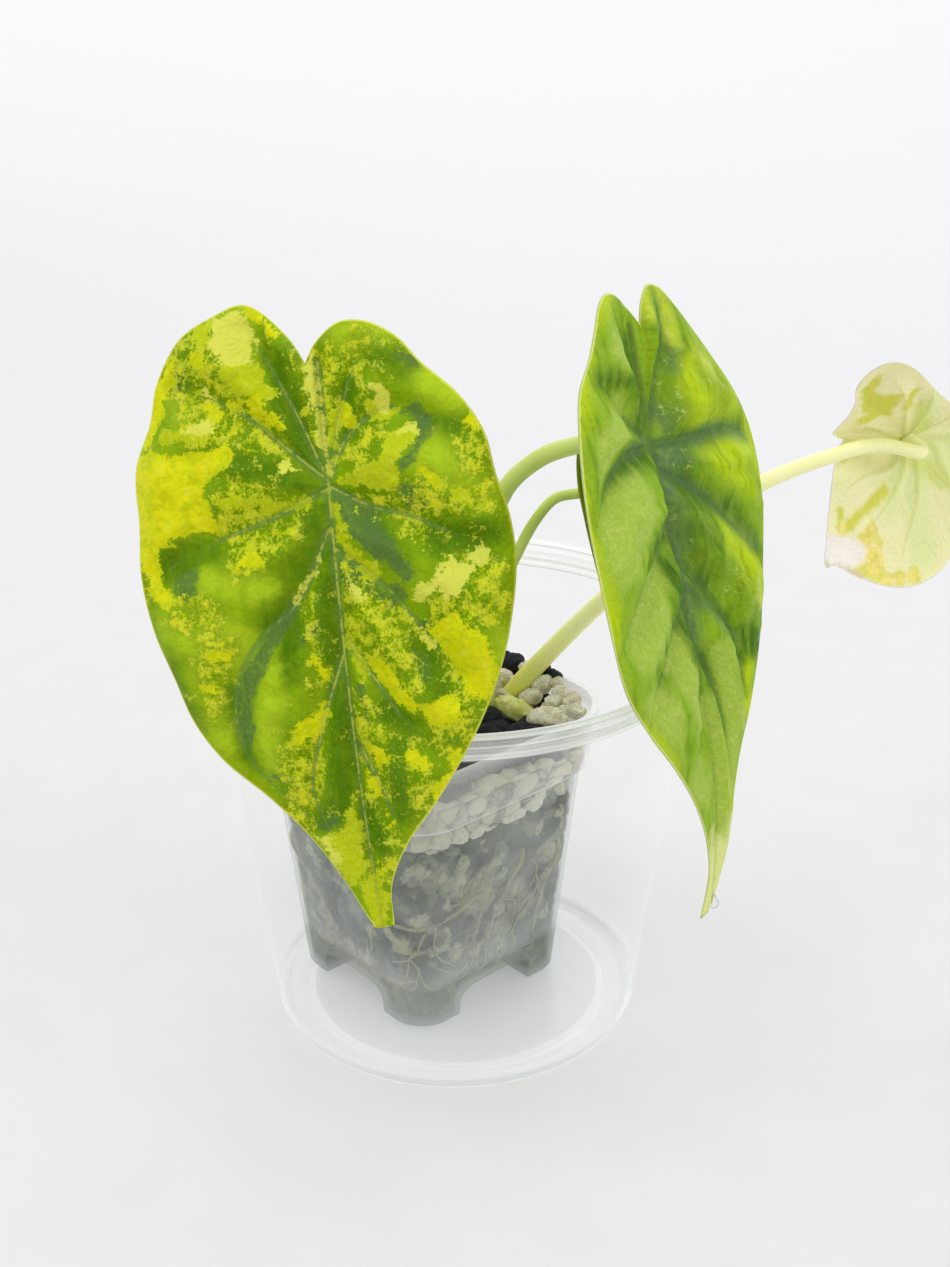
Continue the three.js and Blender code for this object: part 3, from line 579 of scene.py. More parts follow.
# %% How a blade hangs
def leaf_axes(leaf):
    facing, lean, spin = (math.radians(leaf[key]) for key in ("facing", "lean", "spin"))
    out = Vector((math.sin(facing) * math.cos(lean), -math.cos(facing) * math.cos(lean),
                  math.sin(lean)))
    hang = (Vector((0, 0, -1)) + out * math.sin(lean)).normalized()
    down = hang * math.cos(spin) + out.cross(hang) * math.sin(spin)
    return np.array([out.cross(down), -down, out])


for name, leaf in LEAVES.items():
    print(name, "leaf faces", leaf_axes(leaf)[2].round(2).tolist())

# %% [markdown]
# The yellow and pale parts of a variegated leaf are areas without leaf green, with edges like
# torn paper. A painted image would do it, but no image is used here. Each patch is drawn as
# corners, or as a round-ended streak, and every point of the blade stores how deep inside the
# nearest patch it lies. The shader can then roughen that edge at any scale.

# %% Patches as distances
def patch_field(x, y, patches):
    """Millimetres inside the nearest patch, negative outside. A patch is a list of corners, or a
    round-ended streak given as x0, y0, x1, y1 and radius."""
    flat = np.stack([x, y], 1)
    field = np.full(len(flat), -20.0)
    for patch in patches:
        streak = isinstance(patch, tuple)
        corners = np.reshape(patch[:4], (2, 2)) if streak else np.array(patch, float)
        run = np.roll(corners, -1, 0) - corners
        gap = flat[:, None] - corners
        share = np.clip((gap * run).sum(2) / np.maximum((run * run).sum(1), 1e-6), 0, 1)
        far = np.linalg.norm(gap - share[..., None] * run, axis=2).min(1)
        if streak:
            field = np.maximum(field, patch[4] - far)
            continue
        between = (gap[..., 1] < 0) != (gap[..., 1] < run[:, 1])
        slope = run[:, 0] / np.where(run[:, 1] == 0, 1e-9, run[:, 1])
        inside = (between & (gap[..., 0] < slope * gap[..., 1])).sum(1) % 2 == 1
        field = np.maximum(field, np.where(inside, far, -far))
    return field


print("the middle of a streak 2 mm wide is",
      float(patch_field(np.zeros(1), np.zeros(1), [(-5, 0, 5, 0, 1.0)])[0]), "mm inside it")

# %% [markdown]
# Every piece is tied to the frame: `adopt` names it, fixes it to the root body and hides the CAD
# solids in `replaces`, which it stands for. One helper does all of this, so that no piece misses a
# step. Attributes carry a piece's own measures to its shader.

# %% Pieces of the part
def adopt(piece, name, slot, replaces=()):
    piece.name = piece.data.name = name
    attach(piece, "root")
    if replaces:
        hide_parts(*replaces)
    return piece


def link_piece(name, points, faces=()):
    """New object from points in millimetres, not yet tied to the frame."""
    mesh = bpy.data.meshes.new(name)
    mesh.from_pydata(place_mm(points).tolist(), [], [tuple(map(int, face)) for face in faces])
    piece = bpy.data.objects.new(name, mesh)
    scene.collection.objects.link(piece)
    return piece


def make_piece(name, points, faces, slot, replaces=()):
    piece = link_piece(name, points, faces)
    piece.data.validate()
    piece.data.shade_smooth()
    return adopt(piece, name, slot, replaces)


def add_floats(piece, name, values):
    attribute = piece.data.attributes.new(name, "FLOAT", "POINT")
    attribute.data.foreach_set("value", np.asarray(values, np.float32))


def add_vectors(piece, name, values):
    attribute = piece.data.attributes.new(name, "FLOAT_VECTOR", "POINT")
    attribute.data.foreach_set("vector", np.asarray(values, np.float32).ravel())


def edit_mesh(piece, change):
    """Run one change on a piece's mesh."""
    mesh = bmesh.new()
    mesh.from_mesh(piece.data)
    change(mesh)
    mesh.to_mesh(piece.data)
    mesh.free()


print("meshes before the first piece:", [mesh.name for mesh in bpy.data.meshes if mesh.users])

# %% [markdown]
# A real blade is about half a millimetre thick, thinner at the margin, with ribs that stand out
# below. Solidify could thicken a sheet, but not by a different amount at each point. So both
# skins are made, an upper and a lower one for each half, walls close the margin, and points that
# meet along the midrib are merged.

# %% A whole blade
BLADE_THICKNESS = 0.6
MERGE_WITHIN = 2e-6  # metres
PATCH_KINDS = ("yellow", "lime", "pale", "grey", "deep", "bright", "mottle")


def half_skins(leaf, name, side, first):
    """Upper and lower skin of one half, with the walls that join them, and notes on each point."""
    x, y, t, r, edge = half_blade(leaf, side)
    vein, along = vein_distance(name, x, y)
    z = blade_height(leaf, x, y, t, r, vein, along, edge)
    at_margin = np.clip(edge / 3, 0, 1)
    half_thick = BLADE_THICKNESS * (0.45 + 0.55 * at_margin) / 2
    rib = leaf["rib"] * np.exp(-(vein / 0.8) ** 2) * (1 - 0.85 * along) * at_margin
    rows, cols = x.shape
    lower = rows * cols
    verts, notes, faces = [], [], []
    for sign, height in ((1, z + half_thick), (-1, z - half_thick - rib)):
        verts.append(np.stack([x, y, height], -1).reshape(-1, 3))
        notes.append(np.stack([x, y, vein, edge, np.full_like(x, sign), along], -1).reshape(-1, 6))
        start = first + (lower if sign < 0 else 0)
        a = start + (np.arange(rows - 1)[:, None] * cols + np.arange(cols - 1)).ravel()
        quads = np.stack([a, a + 1, a + cols + 1, a + cols], 1)
        faces.append(quads[:, ::-1] if (side == "right") == (sign == 1) else quads)
    margin = first + np.arange(rows) * cols + cols - 1
    tip = first + (rows - 1) * cols + np.arange(cols)
    for wall in ([margin[:-1], margin[:-1] + lower, margin[1:] + lower, margin[1:]],
                 [tip[:-1], tip[1:], tip[1:] + lower, tip[:-1] + lower]):
        faces.append(np.stack(wall[::-1] if side == "right" else wall, 1))
    return np.concatenate(verts), np.concatenate(notes), np.concatenate(faces)


def make_leaf(name, patches):
    leaf = LEAVES[name]
    left = half_skins(leaf, name, "left", 0)
    right = half_skins(leaf, name, "right", len(left[0]))
    local, notes, faces = (np.concatenate(pair) for pair in zip(left, right))
    points = np.array(leaf["place"]) + local @ leaf_axes(leaf)
    piece = make_piece(f"leaf_{name}_blade", points, faces, f"leaf_{name}", (f"leaf_{name}",))
    add_vectors(piece, "blade", notes[:, [0, 1, 4]] * [1, 1, 100])
    for label, column in (("vein", 2), ("edge", 3), ("along", 5)):
        add_floats(piece, label, notes[:, column])
    for kind in PATCH_KINDS:
        add_floats(piece, kind, patch_field(notes[:, 0], notes[:, 1], patches.get(kind, [])))
    edit_mesh(piece, lambda mesh: bmesh.ops.remove_doubles(mesh, verts=mesh.verts,
                                                           dist=MERGE_WITHIN))
    return piece


print("a blade is", BLADE_THICKNESS, "mm thick and carries", len(PATCH_KINDS), "kinds of patch")

# %% [markdown]
# The front leaf is the showpiece: solid yellow and pale areas, grey-green panels beside the veins
# that are partly painted shade along the folds, darker green that is partly painted shade in the
# creases, lighter green that is painted light, and speckle in between. Noise alone would never put
# them where they are. Each area is drawn in millimetres on the blade, as corners or as a streak
# given by x0, y0, x1, y1 and radius. "mottle" says where the blade is speckled.

# %% Front leaf's patches
FRONT_PATCHES = {
    "yellow": [
        [(-38, 9), (-34, 9), (-30, 8), (-22, 8.5), (-18, 9.5), (-17, 7), (-19, 5), (-23, 3),
         (-24, 0), (-22, -4), (-22.5, -8), (-27, -7.5), (-30, -8), (-34, -9.5), (-35, -13),
         (-34.8, -17), (-33, -18), (-31, -20), (-33, -22), (-36, -20), (-40, -12), (-40, -2),
         (-40, 6)],
        [(-36, 16), (-33, 22), (-29.5, 27), (-28, 26), (-30, 20), (-32, 15), (-34, 10), (-38, 10)],
        [(-12, 36), (-8, 32), (-6.5, 29), (-8.5, 28), (-9.5, 31), (-13, 33.5)],
        [(-14.5, 17.5), (-11, 18), (-8.5, 13.5), (-7, 11), (-9, 11.5), (-12, 14), (-14.5, 15)],
        [(-19.5, 17.5), (-17.5, 18.5), (-16, 17), (-16.5, 15.5), (-19, 15.5)],
        [(-17.5, -12), (-14, -11.5), (-12, -13), (-13, -14.5), (-17, -14.5), (-19, -15.5),
         (-18, -13.5)],
        [(-10.5, -46), (-8.5, -45.5), (-6.5, -44), (-5, -42.5), (-4, -44.5), (-5.5, -47),
         (-5, -49.5), (-8, -49.5), (-10.5, -51), (-11, -49)],
        [(27.5, 9.5), (30, 11.5), (33, 10), (32.5, 7.5), (29, 8)],
        [(17, -29.5), (20, -27.5), (22.5, -27), (24, -25.5), (26, -29), (29, -31), (30, -35),
         (30.5, -40), (28, -44), (24, -43), (23, -38), (21, -35), (19, -32)],
        [(15, -45), (17, -43.5), (20, -42.5), (22.5, -43), (24, -46), (21, -48), (18, -48.5),
         (15.5, -47.5)],
        [(5, -35.5), (8, -34.5), (10, -37), (13, -41), (15, -44.5), (13.5, -45.5), (10, -44),
         (8, -40), (6, -38.5)],
        [(3.5, -51.5), (6, -51), (7.5, -53.5), (6.5, -55.5), (4, -55.5), (3, -53)],
        [(1.5, -56), (3, -57.5), (5, -59.5), (4, -63), (2.5, -61), (1.2, -59)],
        [(4, -65.5), (5.5, -66), (6, -68.5), (5, -69)],
        [(1, -76), (3, -75.5), (3, -78.5), (1.5, -79)],
        [(20, -54), (24, -50), (19, -60), (15.5, -64.5), (14.5, -63)],
        (-25, -31.5, -22.5, -32, 1.0), (-27.5, -38, -26, -38.5, 0.8), (-5, -34, -4, -37, 0.9),
        (-22, 17, -20, 15, 1.1), (-24, 27, -22, 25, 0.9), (5, 14, 6, 11, 1.0),
        (12, -54, 14, -56, 1.1), (20, 1, 22, -1, 0.9)],
    "lime": [
        [(-18.5, 25), (-12.5, 24.5), (-10.5, 22), (-9, 18), (-10.5, 16.5), (-13, 18), (-16, 19),
         (-18, 21)], [(-24.5, 31), (-21, 34), (-19, 33), (-19.5, 29), (-22, 28.5)],
        [(9.5, 17), (11.5, 14), (14, 13.5), (16, 14), (15.5, 11.5), (12, 11), (9, 10.5), (8.5, 13)],
        [(13.5, 9), (16, 10), (18.5, 10), (18.8, 6.5), (16.5, 4), (15, 3), (15, -1), (10, -1.5),
         (9, 1), (11, 3), (12, 5.5), (12.5, 7.5)],
        [(1.5, 0.3), (6, 2), (9, 3.5), (14, 3), (15, -1), (13, -2.5), (8, -1.8), (3, -0.6)],
        [(0.5, -4), (2, -5), (3, -9), (4.5, -12.5), (7, -15), (9, -16.5), (9, -18.5), (6, -18.5),
         (3, -15), (1, -11.5)],
        [(11.5, -24), (14, -26), (17, -30.5), (20, -35), (18.5, -34.5), (15, -30), (12, -26.5)],
        [(-10, -70.5), (-8, -69.5), (-5, -69), (-3, -66), (-1.6, -62), (-0.8, -66), (-1.3, -74),
         (-2, -79), (-4, -81), (-7, -77)], [(-3, -80), (1, -79), (2.8, -84), (2, -92), (-1.5, -92)],
        [(2, 15), (4.5, 13), (3, 8), (2, 3), (0.8, 5), (1, 10)], (-31, 12, -22, 11, 1.4),
        (-12, -4, -4, -3, 1.0), (-20, -2, -12, -2, 1.3), (1.5, -30, 4, -38, 1.1),
        (-26, 13.5, -22, 13, 1.2), (26, -3, 29, -6, 1.0), (-3, 14, -1.5, 8, 0.6)],
    "pale": [
        [(-19.5, 33), (-16, 35), (-13, 33.5), (-11, 31), (-12, 28), (-12.5, 24.5), (-15, 24),
         (-18.5, 25), (-19.5, 29)],
        [(-2.6, 23), (-1, 24.5), (-0.2, 20), (0.2, 12), (0.9, 5), (1.2, 0.5), (-0.2, 3), (-1.2, 10),
         (-1.9, 16)], [(-27, 12.6), (-25, 14), (-22, 14), (-20, 12), (-23, 12)],
        [(-9.5, 5), (-7, 4.7), (-5.3, 3), (-8, 3.2)],
        [(11, 18.5), (13, 19), (14, 17), (14.5, 14), (13, 12.5), (11.5, 14)],
        [(13.5, 9.2), (18.6, 10.2), (18.6, 8.2)],
        [(16, -20.5), (19, -21), (21.5, -18), (24, -15.5), (26.5, -17), (28, -19), (26.5, -22),
         (25, -24), (22.5, -23), (21, -22), (18, -24), (15.5, -24)],
        [(27, -16.5), (30, -13.5), (31.5, -15), (30.5, -18), (28, -18.5)],
        [(-10, -70.5), (-8.5, -69.8), (-7, -72), (-6, -76), (-7.5, -77)],
        (-2.8, -15, -8.3, -21.8, 0.5), (-22.5, 20.5, -21.5, 18.5, 0.7),
        (13.5, -26, 18.5, -33.5, 0.35), (2.5, -19, 5.5, -22, 0.7)],
    # Grey-green panels; along the left fold they are partly painted shade.
    "grey": [
        [(-5, -17.5), (-9, -22), (-14, -28), (-20, -35), (-22.5, -41), (-22.8, -47), (-21, -51),
         (-18.5, -47), (-18, -40), (-15, -34), (-11, -29), (-8, -24)],
        [(-30, 20.5), (-29, 23), (-27, 25), (-25, 23.5), (-25.5, 20), (-29, 19.5)],
        [(-32.5, -16.5), (-29, -15), (-26.5, -15), (-27, -19), (-29, -21), (-31, -19)],
        [(0.8, -1), (4, -2), (7, -3.2), (9.5, -5.5), (11, -9.5), (14, -14), (17, -18), (15, -20),
         (11, -16), (8, -14.5), (5, -11), (3, -8), (1.5, -4.5)],
        [(0.3, -12), (2.5, -14.5), (6, -18.5), (9.5, -21.5), (12, -23.5), (10.5, -20.5), (13, -20),
         (14, -23), (11, -25.5), (8, -23), (5, -20.5), (4, -22), (3, -26), (1.5, -24), (0.8, -18)],
        [(14.5, -1), (19, -2), (20, -6), (17, -9), (15, -6)],
        [(-10, -67), (-6, -65), (-5, -68), (-8.5, -69.5)],
        [(17, 13), (19.5, 14), (22, 11), (21, 6), (18.5, 3), (16, 1), (15.5, 3), (19, 6.5),
         (19, 10)], (16, 23, 20, 21, 0.8), (15, -34, 17, -38, 1.0), (3, -40, 3.5, -47, 0.8),
        (-4, -27, -7, -31, 0.6), (15, -28.5, 18, -29, 0.9), (-15, -58, -18, -56, 0.5)],
    # Dark green areas, partly painted shade in the creases and along the folds.
    "deep": [
        [(-34.5, -10), (-31, -9.5), (-29.5, -8), (-27, -9), (-24, -10), (-21.5, -11), (-22.5, -13),
         (-27, -14.5), (-31, -16), (-34, -17), (-35.3, -14)],
        [(-12.5, 29), (-10.5, 31), (-9, 30), (-8, 26), (-9.5, 24), (-12.5, 25.5)],
        [(-9, 24), (-6, 27), (-4.5, 20), (-1.8, 10), (-0.8, 3), (-4, 4), (-7, 11), (-9, 16)],
        [(-29, 6), (-27, 7.5), (-24.5, 7), (-25, 4.5), (-27, 3.5)], (-17, 6, -4, 1, 1.8),
        (-3, -5, -2, -14, 1.8),
        [(-14, -19), (-6, -12), (-2.6, -8), (-2.5, -14), (-5, -18), (-9, -23), (-14, -29),
         (-17, -33), (-16, -26)], (-9, -27, -11, -36, 2.0),
        [(-23, -38), (-25, -45), (-23, -52), (-19.5, -55), (-21.3, -50), (-23.3, -44)],
        [(-0.8, -36), (-3, -40), (-4.5, -46), (-4.8, -56), (-6, -62), (-10, -66), (-9, -69),
         (-5, -68.5), (-2.5, -65), (-1, -58), (-0.3, -50)], (-2, -18, -2, -34, 1.4),
        (22, -12, 31, -12, 2.6), (18, 8, 25, 9, 2.0), (16, -31, 19, -41, 1.6),
        (8, -45, 12, -48, 1.8), (9, -52, 8, -66, 1.4), (1, -66, 3, -73, 1.6), (12, 24, 20, 20, 1.6),
        (8, -8, 13, -16, 1.8), (6, 18, 5, 10, 1.4), (-34, -34, -29, -46, 1.4)],
    # Painted light: lighter green where light falls on the puffs and shines through the blade.
    "bright": [
        [(-14, -34), (-17.5, -42), (-19, -50), (-17.5, -56), (-14.5, -57.5), (-13, -50),
         (-12.5, -42), (-12, -35)], (23, 18, 27, 14, 3.0), (22, 3, 30, -4, 4.0),
        (-30, -24, -22, -30, 5.4), (-29, 21, -26, 16, 3.0), (6, 27, 12, 28, 3),
        (-28, -36, -26, -48, 2.6), (-24, -17, -14, -19, 2.6), (32, -20, 32, -38, 1.6),
        (-15, 32, -15, 22, 3)],
    "mottle": [
        (-26, 28, -20, 14, 7.0), (-10, 10, -18, -6, 6.0), (-8, -8, -18, -12, 4.0),
        (-24, -31, -27, -42, 3.4), (-7, 26, -3, 12, 2.0), (2, 22, 8, 8, 5.5), (20, -4, 30, -6, 4.0),
        (8, -2, 20, -11, 3.0), (3, -24, 14, -36, 6.0), (-4, -24, -3, -38, 3.2),
        (-9, -50, -11, -64, 5.0), (4, -48, 10, -60, 6.5), (20, -50, 24, -24, 5.0),
        (2, -66, 3, -78, 4.0), (-36, 0, -37, -18, 1.6), (27, -13, 31, -26, 4.5),
        (-26, -24, -30, -22, 4.0), (28, 8, 31, 0, 3.0), (2, -14, 3, -20, 1.6),
        (10, 26, 14, 22, 3.0)],
}


print("front leaf:", sum(map(len, FRONT_PATCHES.values())), "patches")

# %% [markdown]
# The right leaf is nearly all green, so its patches follow the quilting: painted light on the
# puffs, dark green and painted shade beside the veins. The far right one shows its pale underside
# with a little green, lifted further as painted light shining through it, and the hidden one is
# plain. They could share one pattern, but no two leaves of a real plant are alike.

# %% Other leaves' patches
RIGHT_PATCHES = {
    "yellow": [
        [(11.5, 29), (14, 27.5), (15.2, 22), (14, 16.6), (12.6, 16.5), (12, 19), (12.5, 24)],
        (7.5, 29, 6, 24, 1.0), (20, 12, 24, 9, 1.4), (24, -36, 26, -41, 1.2)],
    "lime": [
        [(-8, 24), (-5, 21), (-6, 15), (-10, 16), (-14, 20), (-12, 25)],
        [(-11, 12), (-14, 12), (-21, 10), (-27, 6), (-28, -2), (-22, 2), (-17, 3), (-12, 5),
         (-10, 8)],
        [(-12, -3), (-18, -3), (-24, -4), (-30, -9), (-32, -16), (-30, -22), (-25, -20), (-20, -16),
         (-14, -13), (-10, -9)],
        [(-8, -17), (-13, -20), (-20, -25), (-26, -29), (-30, -34), (-28, -40), (-20, -36),
         (-14, -32), (-9, -26)],
        [(-6, -37), (-10, -38), (-16, -42), (-14, -52), (-10, -58), (-7, -50)],
        [(-18, -44), (-26, -42), (-29, -45), (-22, -54), (-17, -58), (-16, -50)],
        [(-10, -62), (-6, -64), (-5, -72), (-8, -76), (-13, -68)], (1, -56, 1, -84, 2.8),
        (10, -58, 12, -64, 2.0), (7, -46, 9, -60, 2.4), (9, -62, 6, -76, 2.0)],
    "pale": [
        (0, -90, -3, -102, 5.0), (4.6, -82, 3.6, -94, 1.0), (-4.4, -82, -3.6, -94, 1.0)],
    "grey": [
        [(0.3, -0.5), (8, -1), (12, -3.6), (9, -6.4), (5.5, -8), (3.6, -12), (3, -20), (2.5, -27),
         (2.6, -35), (1.5, -44), (0, -44), (-0.6, -25), (-0.4, -12)], (12, -3, 24, -3, 0.8),
        (24, -3, 35, -7, 0.5), (3, 6, 5.5, 2, 1.2), (7, -9, 30, -30, 0.5), (10, 13, 12, 16, 0.7),
        (4, -34, 14, -46, 0.7), (-4, 1, -12, 1, 0.6)],
    # Dark green and painted shade in the creases beside the veins.
    "deep": [
        (-2, 20, -3, 4, 2.0), (-10, 14.5, -18, 16, 1.4), (-7, 13, -3.5, 4, 1.6),
        (-4, -1, -16, -1, 2.0), (-14, 0, -24, -3, 1.6), (-3, -6, -4, -18, 1.8),
        (-9, -14, -16, -21, 1.8), (-16, -21, -25, -28, 1.4), (-6, -24, -8, -33, 2.0),
        (-10, -34, -15, -42, 1.8), (-4, -28, -5, -46, 1.6), (-18, -38, -21, -50, 1.0),
        (5, -10, 22, -20, 1.8), (22, -20, 32, -33, 1.4), (8, -13, 11, -22, 4.2),
        (5, -20, 7, -32, 3.0), (3, -31, 12, -40, 1.8), (12, -40, 17, -56, 1.8),
        (3, -46, 5, -62, 1.4), (15, 16, 18, 13, 1.6), (12, -1.5, 34, -5, 1.4),
        (18, -46, 22, -52, 2.6), (9, 24, 10, 18, 0.9), (26, -44, 22, -52, 0.6)],
    # Painted light on the puffs and where light shines through the blade.
    "bright": [
        [(12, 14), (17, 16), (24, 14), (30, 8), (34, 2), (33, 0), (25, -1), (16, 0), (10, 2),
         (10, 8)],
        [(14, -6), (20, -5), (30, -6), (36, -9), (37, -20), (33, -22), (26, -17), (19, -12)],
        [(16, -20), (22, -22), (28, -28), (30, -33), (28, -42), (22, -40), (17, -34), (14, -27)],
        (-34, 0, -34, -30, 1.6), (-30, 10, -20, 22, 1.4), (-16, 27, -8, 30, 1.6),
        (2, -62, 3, -80, 2.0), (37, -4, 36, -28, 1.6), (-20, -61, -28, -50, 1.4),
        (18, -54, 16, -62, 1.6)],
    "mottle": [
        (6, 28, 10, 16, 3.4), (5, 10, 9, 2, 3.4), (20, 10, 26, 4, 4.0), (2, -14, 3, -26, 1.2),
        (14, -30, 22, -40, 3.0), (8, -5, 12, -8, 2.0), (30, -14, 34, -20, 2.4)],
}


FAR_RIGHT_PATCHES = {
    "yellow": [
        [(18, 10), (22, 13), (25, 12), (29, 14), (31, 10), (32, 4), (29, 5), (24, 6), (20, 8)],
        (31, -4, 33, 8, 1.4), (20, 18, 24, 20, 1.2)],
    "lime": [
        [(-23, 23), (-21, 21), (-17, 20), (-16, 17), (-17, 12), (-12, 11), (-8, 10), (-8, 15),
         (-10, 19), (-13, 21), (-17, 24)], (-17, 9, -12, 8, 1.4), (-7, 18, -8, 15, 1.4),
        (2, 19, 4, 18, 1.2), (0, 2, 1, 12, 0.9), (12, 6, 20, 17, 1.2), (16, 19, 20, 19, 1.0)],
    "pale": [
        [(20.5, 21), (22, 17), (23, 13), (25, 10), (28, 11), (29, 14), (28, 18), (27, 22), (25, 26),
         (21, 24)]],
    "grey": [
        (-14, 19, -9, 14, 1.2), (-12, 3, -4, -2, 2.0), (4, -1, 10, -12, 2.0)],
    "deep": [
        (27, 24, 28, 19, 0.9), (28.5, 18, 31.5, 12, 0.9)],
    # Painted light shining through the blade.
    "bright": [
        (6, -3, 26, -6, 4.0), (4, -8, 6, -30, 6.0), (6, 2, 16, 4, 2.4), (-6, -2, -14, 2, 3.0)],
}


HIDDEN_PATCHES = {"lime": [(-14, 6, -12, -4, 2.0)], "deep": [(0, 8, 0, -30, 12)]}
for label, patches in (("right", RIGHT_PATCHES), ("far right", FAR_RIGHT_PATCHES),
                       ("hidden", HIDDEN_PATCHES)):
    print(label, "leaf:", sum(map(len, patches.values())), "patches")

# %% [markdown]
# All four leaves share one node group, `leaf_skin`, which turns the patch distances into colour,
# roughness and fine height. First come its noises, in blade millimetres so that they stay on the
# leaf: fine and coarse grain for speckle, long streaks, and broad clouds. A mask is a patch
# distance with noise added, cut at an edge, which is what makes the edge ragged.

# %% Leaf skin: noises and masks
LEAF_COLOURS = ("Green", "Deep", "Bright", "Grey", "Lime", "Yellow", "Pale", "Vein")
LEAF_NUMBERS = ("Dust", "Speckle", "Ragged", "Soft", "Vein Width", "Vein Share", "Core Share",
                "Streaks")
skin, given = new_group("leaf_skin", LEAF_COLOURS, LEAF_NUMBERS, ("Color", "Roughness", "Height"))
times, plus = skin.times, skin.plus

blade = skin.attribute("blade", vector=True)
fine = skin.noise(blade, 1.9, 5.0, 0.8)
coarse = skin.noise(skin.vector("MULTIPLY", blade, (1.0, 0.7, 1.0)), 0.9, 9.0, 0.85, 0.6)
streaks = skin.noise(skin.vector("MULTIPLY", blade, (0.5, 0.08, 1.0)), 1.0, 4.0, 0.6)
middle = skin.noise(blade, 0.3, 9.0, 0.72)
broad = skin.noise(blade, 0.07, 2.0)
grain = plus(times(coarse, 0.6), times(fine, 0.4))
jitter = times(plus(plus(middle, times(fine, 0.35)), -0.675), given["Ragged"])
soft, back = given["Soft"], times(given["Soft"], -1.0)


def mask(label, low, high, jitter_share=1.0):
    return skin.step(plus(skin.attribute(label), times(jitter, jitter_share)), low, high)


def paint(share, under, over):
    return skin.mix(share, under, given[over] if isinstance(over, str) else over)


print("leaf skin takes", len(LEAF_COLOURS), "colours and", len(LEAF_NUMBERS), "numbers")

# %% [markdown]
# The green itself is never flat. It is darker beside the veins and along the folds, partly dark
# green colour and partly painted shade in the creases. It is lighter on the puffs, which is painted
# light. It is greyed in panels, partly grey-green colour and partly painted shade. Layers of paint
# are mixed one over the other, each through its own mask, because that order is easy to read and to
# change.

# %% Leaf skin: the green
# Dark green areas, and painted shade in the creases beside the veins and along the folds.
deep = mask("deep", -2.6, 1.6)
colour = paint(deep, given["Green"], "Deep")
# Painted light: lighter green where light falls on the puffs and where it shines through the blade.
colour = paint(mask("bright", -2.6, 2.0), colour, "Bright")
colour = paint(skin.step(broad, 0.4, 0.7, 0.0, 0.22), colour, "Bright")
for bound, over in ((0.62, "Lime"), (0.36, "Deep")):
    colour = paint(times(skin.step(streaks, 0.48, bound), given["Streaks"]), colour, over)
# Grey-green panels, partly painted shade along the folds.
grey = mask("grey", plus(times(soft, -1.4), -0.3), plus(soft, 0.2), 0.7)
colour = paint(times(grey, skin.step(coarse, 0.6, 0.46, 0.45, 0.95)), colour, "Grey")
print("leaf skin has", len(skin.tree.nodes), "nodes with its green")

# %% [markdown]
# Between the patches the leaf looks as if paint was flicked on it: specks from pale green to
# yellow, denser in some parts. Scattered dots would look even. Noise is cut near its peaks
# instead, and the cut comes lower where the mottle mask is strong, so specks crowd and merge.

# %% Leaf skin: the speckle
mottle = mask("mottle", -3.0, 2.0, 1.5)
strewn = times(mottle, given["Speckle"])
density = times(plus(given["Dust"], strewn), skin.step(deep, 0.0, 1.0, 1.0, 0.6))
colour = paint(times(strewn, 1.3), colour, "Deep")
start = skin.math("SUBTRACT", 0.69, plus(times(density, 0.42), times(plus(middle, -0.5), 0.6)))
low = times(plus(density, -0.2), 0.16)
colour = paint(skin.step(grain, plus(low, 0.37), plus(low, 0.34), 0.0, 0.75), colour, "Deep")
speckle = paint(skin.step(middle, 0.46, 0.56, 0.0, 0.5), given["Lime"], "Pale")
colour = paint(skin.step(grain, start, plus(start, 0.025), 0.0, 0.8), colour, speckle)
colour = paint(skin.step(grain, plus(start, 0.06), plus(start, 0.09), 0.0, 0.75), colour, "Yellow")
dots = times(skin.step(fine, 0.6, 0.66), times(density, 1.6))
colour = paint(skin.math("MINIMUM", dots, 0.75), colour, "Pale")
print("leaf skin has", len(skin.tree.nodes), "nodes with its speckle")

# %% [markdown]
# The yellow and pale areas lie over the speckle. A single colour would look like a sticker, so
# each one wanders between neighbouring tones, carries flecks, and has a few holes through which
# the green shows.

# %% Leaf skin: solid patches
yellow = mask("yellow", back, soft)
panel = skin.math("MAXIMUM", yellow, mask("lime", back, soft))
flecks = times(skin.step(grain, 0.48, 0.58), times(given["Speckle"], 1.3))
colour = paint(panel, colour, paint(flecks, given["Lime"], "Pale"))
tone = paint(skin.step(middle, 0.46, 0.6, 0.0, 0.8), given["Yellow"], "Lime")
tone = paint(skin.step(middle, 0.44, 0.36, 0.0, 0.7), tone, "Pale")
colour = paint(yellow, colour, paint(times(flecks, 0.35), tone, "Pale"))
pale = mask("pale", back, soft)
colour = paint(pale, colour, "Pale")
holes = times(skin.step(grain, 0.415, 0.38), skin.step(given["Speckle"], 0.1, 0.4))
colour = paint(times(times(holes, panel), 0.8), colour, "Green")
print("leaf skin has", len(skin.tree.nodes), "nodes with its patches")

# %% [markdown]
# Over everything run the veins: a grey-green band with a pale core, thinner towards the margin
# and fainter across pale areas. The margin has a fine light rim. Tiny cells and grain feed the
# bump, since they are far too small to be worth real geometry.

